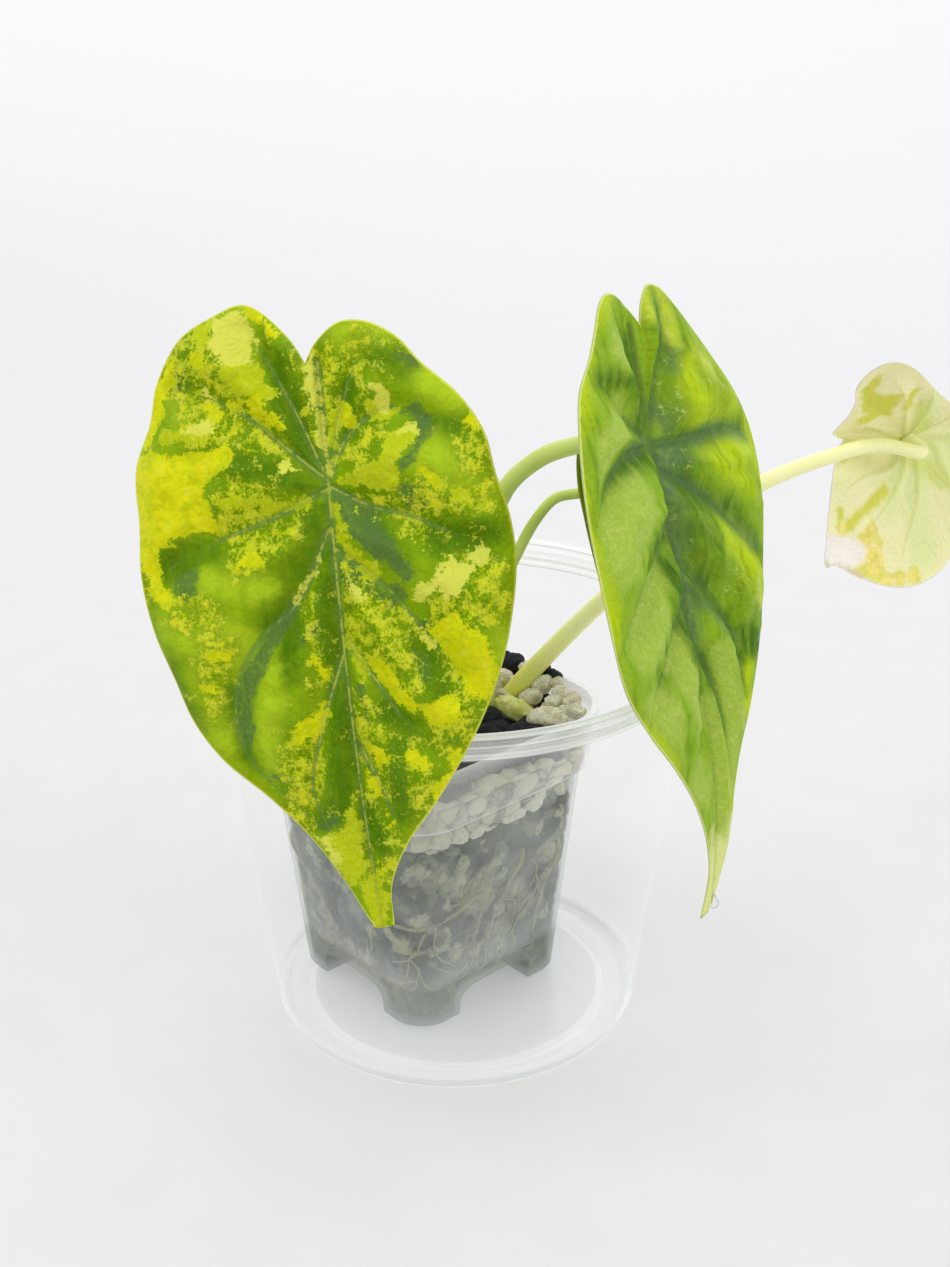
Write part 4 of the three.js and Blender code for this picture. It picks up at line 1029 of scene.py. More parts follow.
# %% Leaf skin: veins, margin and grain
vein, along, edge = (skin.attribute(label) for label in ("vein", "along", "edge"))
narrow = times(given["Vein Width"], skin.math("SUBTRACT", 1.15, along))
far = skin.math("DIVIDE", plus(vein, times(plus(middle, -0.5), 0.8)), narrow)
share = times(given["Vein Share"],
              skin.step(skin.math("MAXIMUM", panel, pale), 0.0, 1.0, 1.0, 0.35))
colour = paint(times(skin.step(far, 2.0, 0.6), share), colour, "Vein")
core = times(skin.step(far, 0.55, 0.2), skin.step(middle, 0.42, 0.52))
colour = paint(times(core, given["Core Share"]), colour, "Pale")
colour = paint(skin.step(plus(edge, times(fine, 0.3)), 0.6, 0.34, 0.0, 0.85), colour, "Pale")
cells = skin.node("ShaderNodeTexVoronoi", {"Vector": blade, "Scale": 0.5, "Randomness": 0.9},
                  feature="DISTANCE_TO_EDGE").outputs["Distance"]
skin.node("NodeGroupOutput", {
    "Color": colour, "Roughness": plus(0.4, times(fine, 0.16)),
    "Height": plus(times(skin.step(cells, 0.0, 0.3), 0.7), times(grain, 0.5))})
leaf_skin = skin.tree
print("leaf skin is complete with", len(leaf_skin.nodes), "nodes")

# %% [markdown]
# Same skin, four paint boxes: the front leaf has clear yellow and strong speckle, the right one
# soft edges and streaks, the far right one creamy tones, lifted as painted light shining through
# it, and the hidden one plain dark green.
# Separate materials keep those values side by side. A little subsurface light makes the blades
# look alive, because a real leaf glows when light comes through it.

# %% Colours of the four leaves
def leaf_material(name, shine, values):
    plain = {"Specular IOR Level": shine, "Subsurface Weight": 0.15, "Subsurface Scale": 0.003}
    fine_bump = (0.55, 0.0004)
    return skinned_material(name, leaf_skin, plain, values, fine_bump)


# Deep and Grey also carry painted shade in the creases and folds. Bright serves as painted light on
# the puffs, as well as for broad clouds.
front_material = leaf_material("leaf_front_skin", 0.08, {
    "Green": srgb(124, 166, 0), "Deep": srgb(76, 124, 0), "Bright": srgb(168, 202, 30),
    "Grey": srgb(88, 124, 60), "Lime": srgb(182, 202, 0), "Yellow": srgb(218, 221, 0),
    "Pale": srgb(216, 222, 84), "Vein": srgb(106, 142, 62), "Dust": 0.1, "Speckle": 0.42,
    "Ragged": 9.0, "Soft": 0.15, "Vein Width": 0.6, "Vein Share": 0.7, "Core Share": 0.6,
    "Streaks": 0.1})
right_material = leaf_material("leaf_right_skin", 0.14, {
    "Green": srgb(132, 174, 20), "Deep": srgb(66, 114, 4), "Bright": srgb(182, 210, 0),
    "Grey": srgb(94, 128, 84), "Lime": srgb(158, 191, 62), "Yellow": srgb(196, 214, 30),
    "Pale": srgb(218, 228, 140), "Vein": srgb(84, 118, 58), "Dust": 0.05, "Speckle": 0.26,
    "Ragged": 4.0, "Soft": 1.8, "Vein Width": 0.85, "Vein Share": 0.55, "Core Share": 0.0,
    "Streaks": 0.35})
# The far right leaf shows its pale underside, lifted further as painted light shining through it.
far_material_painted_backlight = leaf_material("leaf_far_right_skin", 0.1, {
    "Green": srgb(246, 242, 188), "Deep": srgb(216, 196, 160), "Bright": srgb(228, 238, 172),
    "Grey": srgb(214, 226, 130), "Lime": srgb(214, 218, 92), "Yellow": srgb(246, 230, 134),
    "Pale": srgb(250, 242, 232), "Vein": srgb(210, 220, 130), "Dust": 0.0, "Speckle": 0.0,
    "Ragged": 4.0, "Soft": 0.9, "Vein Width": 0.8, "Vein Share": 0.5, "Core Share": 0.0,
    "Streaks": 0.1})
hidden_material = leaf_material("leaf_hidden_skin", 0.1, {
    "Green": srgb(84, 128, 6), "Deep": srgb(60, 104, 0), "Bright": srgb(100, 144, 10),
    "Grey": srgb(80, 110, 40), "Lime": srgb(110, 148, 20), "Yellow": srgb(150, 170, 20),
    "Pale": srgb(130, 160, 40), "Vein": srgb(64, 100, 20), "Dust": 0.0, "Speckle": 0.0,
    "Ragged": 3.0, "Soft": 1.0, "Vein Width": 0.6, "Vein Share": 0.6, "Core Share": 0.0,
    "Streaks": 0.0})
print("leaf paint boxes:", [item.name for item in bpy.data.materials if "leaf" in item.name])

# %% [markdown]
# Now outline, relief, patches and paint come together. The four blades differ only in their
# numbers, so one loop makes them all, and each is measured as it comes out.

# %% Make the leaves
for name, patches, material in (
        ("front", FRONT_PATCHES, front_material), ("right", RIGHT_PATCHES, right_material),
        ("far_right", FAR_RIGHT_PATCHES, far_material_painted_backlight),
        ("hidden", HIDDEN_PATCHES, hidden_material)):
    blade = make_leaf(name, patches)
    blade.data.materials.append(material)
    print(blade.name, len(blade.data.polygons), "faces")

# %% [markdown]
# The cup is moulded plastic, round all over, with thin walls and small lips. It could be put
# together from rings. One closed profile turned about its axis is simpler and stays watertight.
# Each corner of the profile is rounded by a short curve, which is what catches the light.

# %% Turned profiles
def outward(piece):
    """Turn every face of a closed piece outwards."""
    edit_mesh(piece, lambda mesh: bmesh.ops.recalc_face_normals(mesh, faces=mesh.faces))


def rounded(profile, radius=0.5, steps=4):
    points = [np.array(p, float) for p in profile]
    result = [points[0]]
    for before, corner, after in zip(points, points[1:], points[2:]):
        reach = [min(radius, 0.45 * np.linalg.norm(q - corner)) for q in (before, after)]
        a = corner + (before - corner) / np.linalg.norm(before - corner) * reach[0]
        b = corner + (after - corner) / np.linalg.norm(after - corner) * reach[1]
        for t in np.linspace(0, 1, steps + 1):
            result.append((1 - t) ** 2 * a + 2 * t * (1 - t) * corner + t * t * b)
    return result + [points[-1]]


def around(count):
    return 2 * np.pi * np.arange(count) / count


def lathe(profile, segments):
    """Turn a profile that starts and ends on the axis into a closed skin."""
    rings = profile[1:-1]
    verts = [(0, 0, profile[0][1]), (0, 0, profile[-1][1])]
    for r, z in rings:
        verts += [(r * math.cos(a), r * math.sin(a), z) for a in around(segments)]
    faces = []
    for i in range(len(rings) - 1):
        for k in range(segments):
            a, b = 2 + i * segments + k, 2 + i * segments + (k + 1) % segments
            faces.append((a, b, b + segments, a + segments))
    last = 2 + (len(rings) - 1) * segments
    for k in range(segments):
        faces.append((0, 2 + (k + 1) % segments, 2 + k))
        faces.append((1, last + k, last + (k + 1) % segments))
    return verts, faces


print("a corner is rounded by", len(rounded([(0, 0), (1, 0), (1, 1)])) - 2, "points")

# %% [markdown]
# The cup's profile goes up the outside, over the lip and down the inside: a raised base panel, a
# foot ring, a straight conical wall, and the stepped rim on which a lid would snap. The numbers
# are radius and height in millimetres. The steps are under a millimetre, but they draw every
# bright line of the rim.

# %% Cover cup
CUP_OUTSIDE = [(0, 1.9), (34.6, 1.9), (37, 0), (43.2, 0), (44.4, 1.2), (56.2, 91.5), (57.3, 92.4),
               (57.3, 93.7), (56.7, 94.3), (57.9, 94.9), (57.9, 95.5), (59, 95.9), (59, 98.3),
               (58.5, 98.9)]
CUP_INSIDE = [(57.7, 98.9), (57.1, 98.3), (56, 94.6), (55.4, 91.5), (43.8, 3.4), (41.6, 1.4),
              (37.6, 1.4), (35.2, 2.7), (0, 2.7)]
CUP_SEGMENTS = 160
cup = make_piece("cover_cup_clear", *lathe(rounded(CUP_OUTSIDE + CUP_INSIDE), CUP_SEGMENTS),
                 "cover_cup", ("cover_cup",))
outward(cup)
print(cup.name, len(cup.data.polygons), "faces")

# %% [markdown]
# Edges of clear plastic show as thin bright and grey lines, because light runs inside the wall
# and leaves at every step. Real refraction would need many bounces. These lines lie at known
# heights, so a colour ramp over the height in millimetres gives each one a tone and a density.

# %% Moulded lines by height
def height_bands(tree, height, stops):
    """Ramp over heights in mm. Each stop gives its tone, grey or coloured, and its density."""
    low_z, high_z = stops[0][0], stops[-1][0]
    values = {"Value": height, "From Min": low_z, "From Max": high_z}
    share = tree.node("ShaderNodeMapRange", values)
    node = tree.node("ShaderNodeValToRGB", {"Fac": share.outputs["Result"]})
    elements = node.color_ramp.elements
    for k, (z, tone, density) in enumerate(stops):
        position = (z - low_z) / (high_z - low_z)
        element = elements[k] if k < 2 else elements.new(position)
        element.position = position
        colour = srgb(*tone) if isinstance(tone, tuple) else srgb(tone, tone, tone)
        element.color = (*colour[:3], density)
    return node.outputs["Color"], node.outputs["Alpha"]


# Painted highlights and shade lines of the rim, and on the foot a pale ring round a greyer panel in
# painted shade.
CUP_BANDS = (((91.9, 190, 0.0), (92.1, 170, 0.4), (92.6, 252, 0.7), (93.3, 248, 0.4),
              (93.9, 182, 0.35), (94.5, 252, 0.6), (95.2, 196, 0.35), (95.8, 244, 0.25),
              (97.2, 246, 0.25), (97.6, 182, 0.4), (98.0, 254, 0.75), (98.6, 254, 0.7),
              (98.8, 200, 0.4), (99.2, 240, 0.4)),
             ((-0.4, 252, 0.3), (1.1, 252, 0.34), (1.5, (202, 206, 207), 0.32),
              (3.0, (202, 206, 207), 0.3), (3.5, 250, 0.26), (4.4, 250, 0.2), (6.0, 246, 0.0)))
print("the cup has", sum(map(len, CUP_BANDS)), "tones at its rim and its foot")

# %% [markdown]
# Damp mix fogs the pot from inside, in patches, and more towards the bottom. Droplets would be
# thousands of tiny shapes for a soft grey veil. Both plastics share one node group instead, a
# haze broken up by noise, plus mist that thickens below a given height.

# %% Fog on plastic
def fog_group():
    tree, given = new_group("fog_on_plastic", (), ("Haze", "Mist Height", "Mist"), ("Fog",))
    mm = tree.object_mm()
    haze = tree.times(tree.step(tree.noise(mm, 0.06, 3.0, 0.6), 0.3, 0.7), given["Haze"])
    mist = tree.step(tree.part(mm, "Z"), given["Mist Height"], 0.0, 0.0, given["Mist"])
    tree.node("NodeGroupOutput", {"Fog": tree.plus(haze, mist)})
    return tree.tree


fog_on_plastic = fog_group()
print("fog group with", len(fog_on_plastic.nodes), "nodes")

# %% [markdown]
# Glass with real refraction turns grey and noisy in thin walls, and hides what stands behind. Here
# clear plastic is a thin veil: nearly see-through where it faces the eye, denser and greyer where
# it turns away, which is painted reflection and refraction, with the moulded lines and the fog on
# top. It also gives off a little painted light, though it is no lamp. For shadow rays the veil is
# almost absent, because clear plastic hardly shades what it holds.

# %% Clear plastic
SHADOW_SHARE = 0.12  # of the veil, for light that passes on to what stands behind


def clear_plastic(name, face_alpha, edge_alpha, colours, roughness, power, haze, bands,
                  mist=(30.0, 0.0), painted_glow=0.0):
    """colours are those of the facing and of the turned wall, whose grey is painted reflection and
    refraction; bands are sets of moulded lines, painted highlights and shade lines; mist is its
    height and its share; the last value is painted light that the plastic gives off although it is
    no lamp."""
    plain = {"Roughness": roughness, "Specular IOR Level": 0.5, "IOR": 1.45}
    material, tree, shader = new_material(name, {**plain, "Emission Strength": painted_glow})
    facing = tree.node("ShaderNodeLayerWeight", {"Blend": 0.5}).outputs["Facing"]
    turn = tree.math("POWER", facing, power)
    mm = tree.object_mm()
    amounts = {"Haze": haze, "Mist Height": mist[0], "Mist": mist[1]}
    fog = tree.node("ShaderNodeGroup", amounts, node_tree=fog_on_plastic).outputs["Fog"]
    tone, density = height_bands(tree, tree.part(mm, "Z"), bands[0])
    for more in bands[1:]:
        other_tone, other_density = height_bands(tree, tree.part(mm, "Z"), more)
        tone = tree.mix(tree.step(other_density, 0.0, 0.02), tone, other_tone)
        density = tree.math("MAXIMUM", density, other_density)
    veil = tree.plus(tree.step(turn, 0.0, 1.0, face_alpha, edge_alpha), fog)
    shadow = tree.node("ShaderNodeLightPath").outputs["Is Shadow Ray"]
    alpha = tree.math("MULTIPLY", tree.math("MAXIMUM", veil, density),
                      tree.step(shadow, 0.0, 1.0, 1.0, SHADOW_SHARE), clamp=True)
    tree.put(shader.inputs["Alpha"], alpha)
    # Painted reflection: the turned wall greys, and the bands paint highlights and shade lines.
    colour = tree.mix(tree.step(density, 0.0, 0.1), tree.mix(turn, *colours), tone)
    # Painted light: the plastic gives off its own colour as light, though it is no lamp.
    for key in ("Base Color", "Emission Color"):
        tree.put(shader.inputs[key], colour)
    tree.put(shader.inputs["Normal"], tree.bump(tree.noise(mm, 0.12, 2.0), 0.08, 0.001))
    return material


# The cup's grey turned wall is painted reflection, and the light it gives off is painted light.
cup.data.materials.append(clear_plastic(
    "cup_clear", face_alpha=0.012, edge_alpha=0.26,
    colours=(srgb(246, 248, 248), srgb(204, 208, 209)),
    roughness=0.08, power=4.0, haze=0.02, bands=CUP_BANDS, mist=(48.0, 0.12), painted_glow=0.22))
print(cup.data.materials[0].name, "on", cup.name)

# %% [markdown]
# The nursery pot is square with round corners and tapers down to four feet. It stands off the
# cup's axis and a little turned. One table holds its sizes in millimetres, and helpers say how
# wide it is at any height, because the pot's inside, the mix and the roots all ask that.

# %% Sizes of the pot
POT = dict(x=-6.7, y=7.4, turn=41.6, bottom=3.0, top=75.5, wall=0.9,
           rim=33.6, collar=32.1, collar_z=59.5, body=30.4, base=24.4,
           rim_corner=15.8, base_corner=8.5, arch_half=11.4, arch_height=7.4)


def mix_value(a, b, share):
    return a + (b - a) * share


def corner_radius(half):
    share = (half - POT["base"]) / (POT["rim"] - POT["base"])
    return mix_value(POT["base_corner"], POT["rim_corner"], share)


def body_half(z):
    share = (z - POT["bottom"]) / (POT["collar_z"] - POT["bottom"])
    return mix_value(POT["base"], POT["body"], share)


def turned(x, y, angle):
    return x * math.cos(angle) - y * math.sin(angle), x * math.sin(angle) + y * math.cos(angle)


def to_pot(points):
    """From the pot's own frame to its place in the cup."""
    angle = math.radians(POT["turn"])
    turn = np.array([[math.cos(angle), -math.sin(angle), 0],
                     [math.sin(angle), math.cos(angle), 0], [0, 0, 1]])
    return np.asarray(points, float) @ turn.T + [POT["x"], POT["y"], 0]


print("the pot is", 2 * POT["rim"], "mm across and", POT["top"] - POT["bottom"], "mm tall")

# %% [markdown]
# A square with round corners can be scaled at each height, but then its corners would scale too.
# So every ring is drawn for its own half width and corner radius, and a loft joins the rings. The
# same stations, moved inwards, make the pot's inside and the mix that fills it.

# %% Square rings and lofts
def square_ring(half, corner, z, arc=10, straight=6):
    flat = half - corner
    ring = []
    for side in range(4):
        line = [(half, y) for y in np.linspace(-flat, flat, straight, endpoint=False)]
        for k in range(arc):
            angle = k / arc * math.pi / 2
            line.append((flat + corner * math.cos(angle), flat + corner * math.sin(angle)))
        ring += [(*turned(x, y, side * math.pi / 2), z) for x, y in line]
    return ring


def loft(rings):
    """Closed skin through rings of equal count, with a fan at each end."""
    count = len(rings[0])
    verts = [p for ring in rings for p in ring]
    verts += [tuple(np.mean(rings[0], 0)), tuple(np.mean(rings[-1], 0))]
    faces = []
    for i in range(len(rings) - 1):
        for k in range(count):
            a, b = i * count + k, i * count + (k + 1) % count
            faces.append((a, b, b + count, a + count))
    last = (len(rings) - 1) * count
    faces += [(len(verts) - 2, (k + 1) % count, k) for k in range(count)]
    faces += [(len(verts) - 1, last + k, last + (k + 1) % count) for k in range(count)]
    return verts, faces


def pot_stations(inset, low_z, high_z, lip=0.0):
    names = ("body", "collar", "collar_z", "rim", "top")
    body, collar, collar_z, rim, top = (POT[name] for name in names)
    rows = [(z, body_half(z)) for z in np.linspace(low_z, min(high_z, collar_z), 14)]
    if high_z > collar_z:
        shift = collar_z - 0.6 * inset
        rows[-1] = (shift, body)
        rows += [(shift + 0.2, body + 0.3), (shift + 1.0, collar - 0.35), (shift + 1.3, collar)]
        top_half = mix_value(collar, rim, (high_z - collar_z) / (top - collar_z))
        if lip:
            rows += [(top - 2.4, rim - 0.3), (top - 1.9, rim + 0.5 * lip)]
            rows += [(top - 1.4, rim + lip), (high_z - 0.3, rim + lip)]
            top_half = rim + lip - 0.3
        rows.append((high_z, top_half))
    return [square_ring(half - inset, corner_radius(half) - inset, z) for z, half in rows]


print("a ring has", len(square_ring(POT["rim"], POT["rim_corner"], 0)), "points")

# %% [markdown]
# Under the pot an arch runs through each side, so that it stands on four feet and drains. Feet
# could be added to a flat base. Two crossing channels cut from it leave the same shape, and the
# inside is cut by channels grown by the wall, which keeps the wall even. Each cut is made final
# at once, because pieces tied to the frame carry no unfinished cuts.

# %% Cutting arches
def channel(grow, across):
    low_z, half = POT["bottom"] - 5, POT["arch_half"] + grow
    top = POT["bottom"] + POT["arch_height"] + grow
    arch = [(-half, low_z), (half, low_z)]
    for k in range(13):
        angle = k / 12 * math.pi
        bulge = math.copysign(abs(math.cos(angle)) ** 0.55, math.cos(angle))
        arch.append((half * bulge, top - 4 + 4 * math.sin(angle) ** 0.8))
    length = 40
    verts = [(x, y, z) for y in (-length, length) for x, z in arch]
    if across:
        verts = [(y, x, z) for x, y, z in verts]
    n = len(arch)
    faces = [tuple(range(n)), tuple(range(2 * n - 1, n - 1, -1))]
    faces += [(k, k + n, (k + 1) % n + n, (k + 1) % n) for k in range(n)]
    return verts, faces


def pot_shape(verts, faces):
    piece = link_piece("part", to_pot(verts), faces)
    outward(piece)
    return piece


def bake(piece):
    """Replace a piece's mesh by what its modifiers make of it, and drop them."""
    shape = piece.evaluated_get(bpy.context.evaluated_depsgraph_get())
    mesh = bpy.data.meshes.new_from_object(shape)
    piece.modifiers.clear()
    piece.data = mesh


def cut(piece, other):
    modifier = piece.modifiers.new("cut", "BOOLEAN")
    modifier.operation, modifier.object, modifier.solver = "DIFFERENCE", other, "EXACT"
    bake(piece)
    bpy.data.objects.remove(other)


def cut_channels(piece, grow):
    for across in (False, True):
        cut(piece, pot_shape(*channel(grow, across)))


print("a channel has", len(channel(0, False)[0]), "corners")

# %% [markdown]
# The pot is thin clear plastic, moulded in one piece. A Solidify modifier would thicken its skin
# unevenly at the feet. So the full block and its inside are lofted, both get their channels, and
# the inside is cut out of the block, which leaves a wall that is closed and the same all round.

# %% Nursery pot
pot = pot_shape(*loft(pot_stations(0, POT["bottom"], POT["top"], lip=0.7)))
cut_channels(pot, 0)
hollow = pot_shape(*loft(pot_stations(POT["wall"], POT["bottom"] + POT["wall"], POT["top"] + 2)))
cut_channels(hollow, POT["wall"])
cut(pot, hollow)
adopt(pot, "nursery_pot_clear", "nursery_pot", ("nursery_pot",))
pot.data.shade_smooth()
pot.data.set_sharp_from_angle(angle=math.radians(38))
print(pot.name, len(pot.data.polygons), "faces")

# %% [markdown]
# The pot is the same kind of plastic as the cup, but fogged from inside and darker, green-grey,
# towards its feet. It reuses the veil with its own bands: the collar's step, painted as a highlight
# over a shade line, the pale rim with its painted highlights, and the green-grey foot.

# %% The pot's plastic
# A painted highlight over a shade line at the collar's step, and painted highlights at the rim; the
# second set darkens the foot.
POT_BANDS = (((58.4, 225, 0.0), (58.8, 150, 0.3), (59.4, 250, 0.45), (60.2, 235, 0.16),
              (71.0, 228, 0.14), (72.6, 206, 0.34), (74.6, 214, 0.36), (75.0, 235, 0.4),
              (75.5, 250, 0.4)),
             ((2.8, (96, 118, 110), 0.4), (3.5, (120, 136, 124), 0.26),
              (9.0, (138, 150, 134), 0.18), (16.0, (150, 156, 140), 0.0)))
# The pot also gives off a little painted light, though it is no lamp.
pot.data.materials.append(clear_plastic(
    "pot_clear", face_alpha=0.07, edge_alpha=0.4,
    colours=(srgb(206, 214, 206), srgb(206, 214, 212)),
    roughness=0.22, power=2.6, haze=0.14, bands=POT_BANDS, mist=(30.0, 0.24), painted_glow=0.1))
print(pot.data.materials[0].name, "on", pot.name)

# %% [markdown]
# The mix is grit pressed against the pot's wall: dark lava below, pale pumice above. Thousands of
# loose stones would be heavy and mostly hidden. Only the outside shows, so the filling's skin is
# remeshed densely and shared out among seeded grains: each point belongs to its nearest grain,
# takes its tone, and sinks a little where two grains meet.

# %% Packed grains
GRAIN_VOXEL, QUICK_VOXEL = 0.0009, 0.0014  # metres
SEAM_DEPTH, SEAM_WIDTH = 0.2, 0.35  # shares of the spacing of the grains


def grain_seeds(points, spacing, pale_share, random):
    """Jittered grid of grain middles round the points, in a search tree, and their tones."""
    ends = zip(points.min(0) - 2, points.max(0) + 2)
    axes = [np.arange(low, high, spacing) for low, high in ends]
    seeds = np.stack(np.meshgrid(*axes, indexing="ij"), -1).reshape(-1, 3)
    seeds += random.uniform(-0.48, 0.48, seeds.shape) * spacing
    tree = KDTree(len(seeds))
    for k, spot in enumerate(seeds):
        tree.insert(spot, k)
    tree.balance()
    tones = np.where(random.random(len(seeds)) < pale_share,
                     random.uniform(0.55, 1, len(seeds)), random.uniform(0, 0.3, len(seeds)))
    return tree, tones


def packed_grit(name, low_z, high_z, spacing, pale_share, seed, node):
    inset = POT["wall"] + 0.15
    piece = pot_shape(*loft(pot_stations(inset, low_z, high_z)))
    cut_channels(piece, inset)
    remesh = piece.modifiers.new("even", "REMESH")
    remesh.mode, remesh.voxel_size = "VOXEL", GRAIN_VOXEL
    bake(piece)
    mesh = piece.data
    points = np.empty(3 * len(mesh.vertices))
    mesh.vertices.foreach_get("co", points)
    points = points.reshape(-1, 3) * MM
    normals = np.array([v.normal for v in mesh.vertices])
    tree, tones = grain_seeds(points, spacing, pale_share, np.random.default_rng(seed))
    gap, tone = np.empty(len(points)), np.empty(len(points))
    for k, spot in enumerate(points):
        (_, first, d1), (_, _, d2) = tree.find_n(spot, 2)
        gap[k], tone[k] = min((d2 - d1) / spacing, 1), tones[first]
    sink = SEAM_DEPTH * spacing * (1 - smooth_steps(gap, 0, SEAM_WIDTH)) + 0.05
    mesh.vertices.foreach_set("co", ((points - normals * sink[:, None]) / MM).ravel())
    mesh.shade_smooth()
    adopt(piece, name, node, (node,))
    add_floats(piece, "gap", gap)
    add_floats(piece, "tone", tone)
    print(name, len(mesh.polygons), "faces")
    return piece


lower = packed_grit("mix_lower_grit", POT["bottom"] + POT["wall"] + 0.3, 52, 3.7, 0.4, 3,
                    "mix_lava_lower")
upper = packed_grit("mix_upper_grit", 52.3, 66, 5.6, 0.85, 5, "mix_pumice_upper")

# %% [markdown]
# Each grain has one tone of its own, from dark lava to pale pumice, and like lies near like. The
# tone was stored with the grain, so the shader only has to turn it into a colour, let it drift in
# broad clouds, and darken the seams where no light reaches.

# %% Colours of the grit
def grit_group():
    """Colour of packed grains. Drift is how far the tone wanders where one kind lies together."""
    tree, given = new_group("grit_skin", ("Dark", "Mid", "Pale"), ("Drift",), ("Color", "Height"))
    dark, mid, pale, drift = (given[label] for label in ("Dark", "Mid", "Pale", "Drift"))
    mm = tree.object_mm()
    tone, gap = tree.attribute("tone"), tree.attribute("gap")
    fine = tree.noise(mm, 1.1, 5.0, 0.7)
    stone = tree.mix(tree.step(tone, 0.2, 0.6), dark, mid)
    stone = tree.mix(tree.step(tone, 0.6, 1.0), stone, pale)
    stone = tree.mix(tree.step(fine, 0.4, 0.66, 0.0, 0.7), stone, mid)
    pale_clouds, dark_clouds = tree.noise(mm, 0.1, 3.0, 0.6), tree.noise(mm, 0.12, 3.0, 0.6)
    stone = tree.mix(tree.step(pale_clouds, 0.5, 0.62, 0.0, drift), stone, pale)
    stone = tree.mix(tree.step(dark_clouds, 0.48, 0.38, 0.0, drift), stone, dark)
    shade = tree.step(gap, 0.0, 0.14, 0.45, 1.0)
    shades = {"Red": shade, "Green": shade, "Blue": shade}
    grey = tree.node("ShaderNodeCombineColor", shades).outputs[0]
    tree.node("NodeGroupOutput", {"Color": tree.mix(1.0, stone, grey, "MULTIPLY"), "Height": fine})
    return tree.tree


grit_skin = grit_group()


def grit_material(name, dark, mid, pale, drift):
    plain = {"Roughness": 0.85, "Specular IOR Level": 0.25}
    values = {"Dark": srgb(*dark), "Mid": srgb(*mid), "Pale": srgb(*pale), "Drift": drift}
    return skinned_material(name, grit_skin, plain, values, (0.6, 0.0006))


lower.data.materials.append(
    grit_material("lava_grit", (14, 20, 26), (82, 92, 72), (190, 187, 150), 0.55))
upper.data.materials.append(
    grit_material("pumice_grit", (96, 98, 88), (208, 204, 180), (250, 247, 226), 0.3))
print("grit skin has", len(grit_skin.nodes), "nodes")

# %% [markdown]
# Loose stones lie on top, lumpy and porous, no two alike. Copies of one stone would show. A
# Geometry Nodes tree puts a ball on each point, turned and sized by that point's own attributes,
# makes the copies real, and only then pushes the surface about with noise in the plant's space,
# so that every stone gets its own lumps.

# %% Stone scatter
def stone_tree():
    tree = Tree(bpy.data.node_groups.new("stone_scatter", "GeometryNodeTree"))
    sockets = (("Geometry", "INPUT", "Geometry"), ("Lumps", "INPUT", "Float"),
               ("Detail", "INPUT", "Int"), ("Finish", "INPUT", "Material"),
               ("Geometry", "OUTPUT", "Geometry"))
    for label, way, kind in sockets:
        tree.tree.interface.new_socket(name=label, in_out=way, socket_type=f"NodeSocket{kind}")
    given = tree.node("NodeGroupInput").outputs
    ball = tree.node("GeometryNodeMeshIcoSphere",
                     {"Radius": 0.001, "Subdivisions": given["Detail"]})
    size, turn = (tree.node("GeometryNodeInputNamedAttribute", {"Name": label},
                            data_type="FLOAT_VECTOR").outputs["Attribute"]
                  for label in ("stone_size", "stone_turn"))
    turn = tree.node("FunctionNodeEulerToRotation", {"Euler": turn}).outputs["Rotation"]
    copies = tree.node("GeometryNodeInstanceOnPoints", {
        "Points": given["Geometry"], "Instance": ball.outputs["Mesh"], "Rotation": turn,
        "Scale": size}).outputs["Instances"]
    real = tree.node("GeometryNodeRealizeInstances", {"Geometry": copies}).outputs["Geometry"]
    lumps = [tree.node("ShaderNodeTexNoise", {"Scale": scale}).outputs["Color"]
             for scale in (190, 620)]
    push = tree.vector("SUBTRACT", tree.vector("ADD", *lumps), (1.0, 1.0, 1.0))
    push = tree.node("ShaderNodeVectorMath", {0: push, "Scale": given["Lumps"]}, operation="SCALE")
    lumpy = tree.node("GeometryNodeSetPosition", {"Geometry": real, "Offset": push.outputs[0]})
    soft = tree.node("GeometryNodeSetShadeSmooth", {"Geometry": lumpy.outputs["Geometry"]})
    finish = {"Geometry": soft.outputs["Geometry"], "Material": given["Finish"]}
    done = tree.node("GeometryNodeSetMaterial", finish).outputs["Geometry"]
    tree.node("NodeGroupOutput", {"Geometry": done})
    return tree.tree


scatter = stone_tree()
print("stone scatter has", len(scatter.nodes), "nodes")

# %% [markdown]
# The tree needs one point for each stone, and its inputs are set by each socket's identifier
# before it first runs. The result is read back as a plain mesh and the modifier is dropped,
# because the export keeps real meshes only.

# %% From spots to stones
def scatter_stones(name, spots, sizes, turns, lumps, material, slot, replaces=(), detail=4):
    piece = link_piece(name, spots)
    add_vectors(piece, "stone_size", sizes)
    add_vectors(piece, "stone_turn", turns)
    modifier = piece.modifiers.new("stones", "NODES")
    modifier.node_group = scatter
    values = {"Lumps": lumps, "Detail": detail, "Finish": material}
    for item in scatter.interface.items_tree:
        if item.in_out == "INPUT" and item.name in values:
            modifier[item.identifier] = values[item.name]
    bake(piece)
    print(name, len(spots), "stones,", len(piece.data.polygons), "faces")
    return adopt(piece, name, slot, replaces)

# %% [markdown]
# Lava is nearly black and pumice nearly white, but both are full of pores. Modelled pores would
# cost thousands of faces on each stone. One node group gives two tones in patches and pores from a
# cell texture, darkened with painted shade, and three materials fill in their own colours.

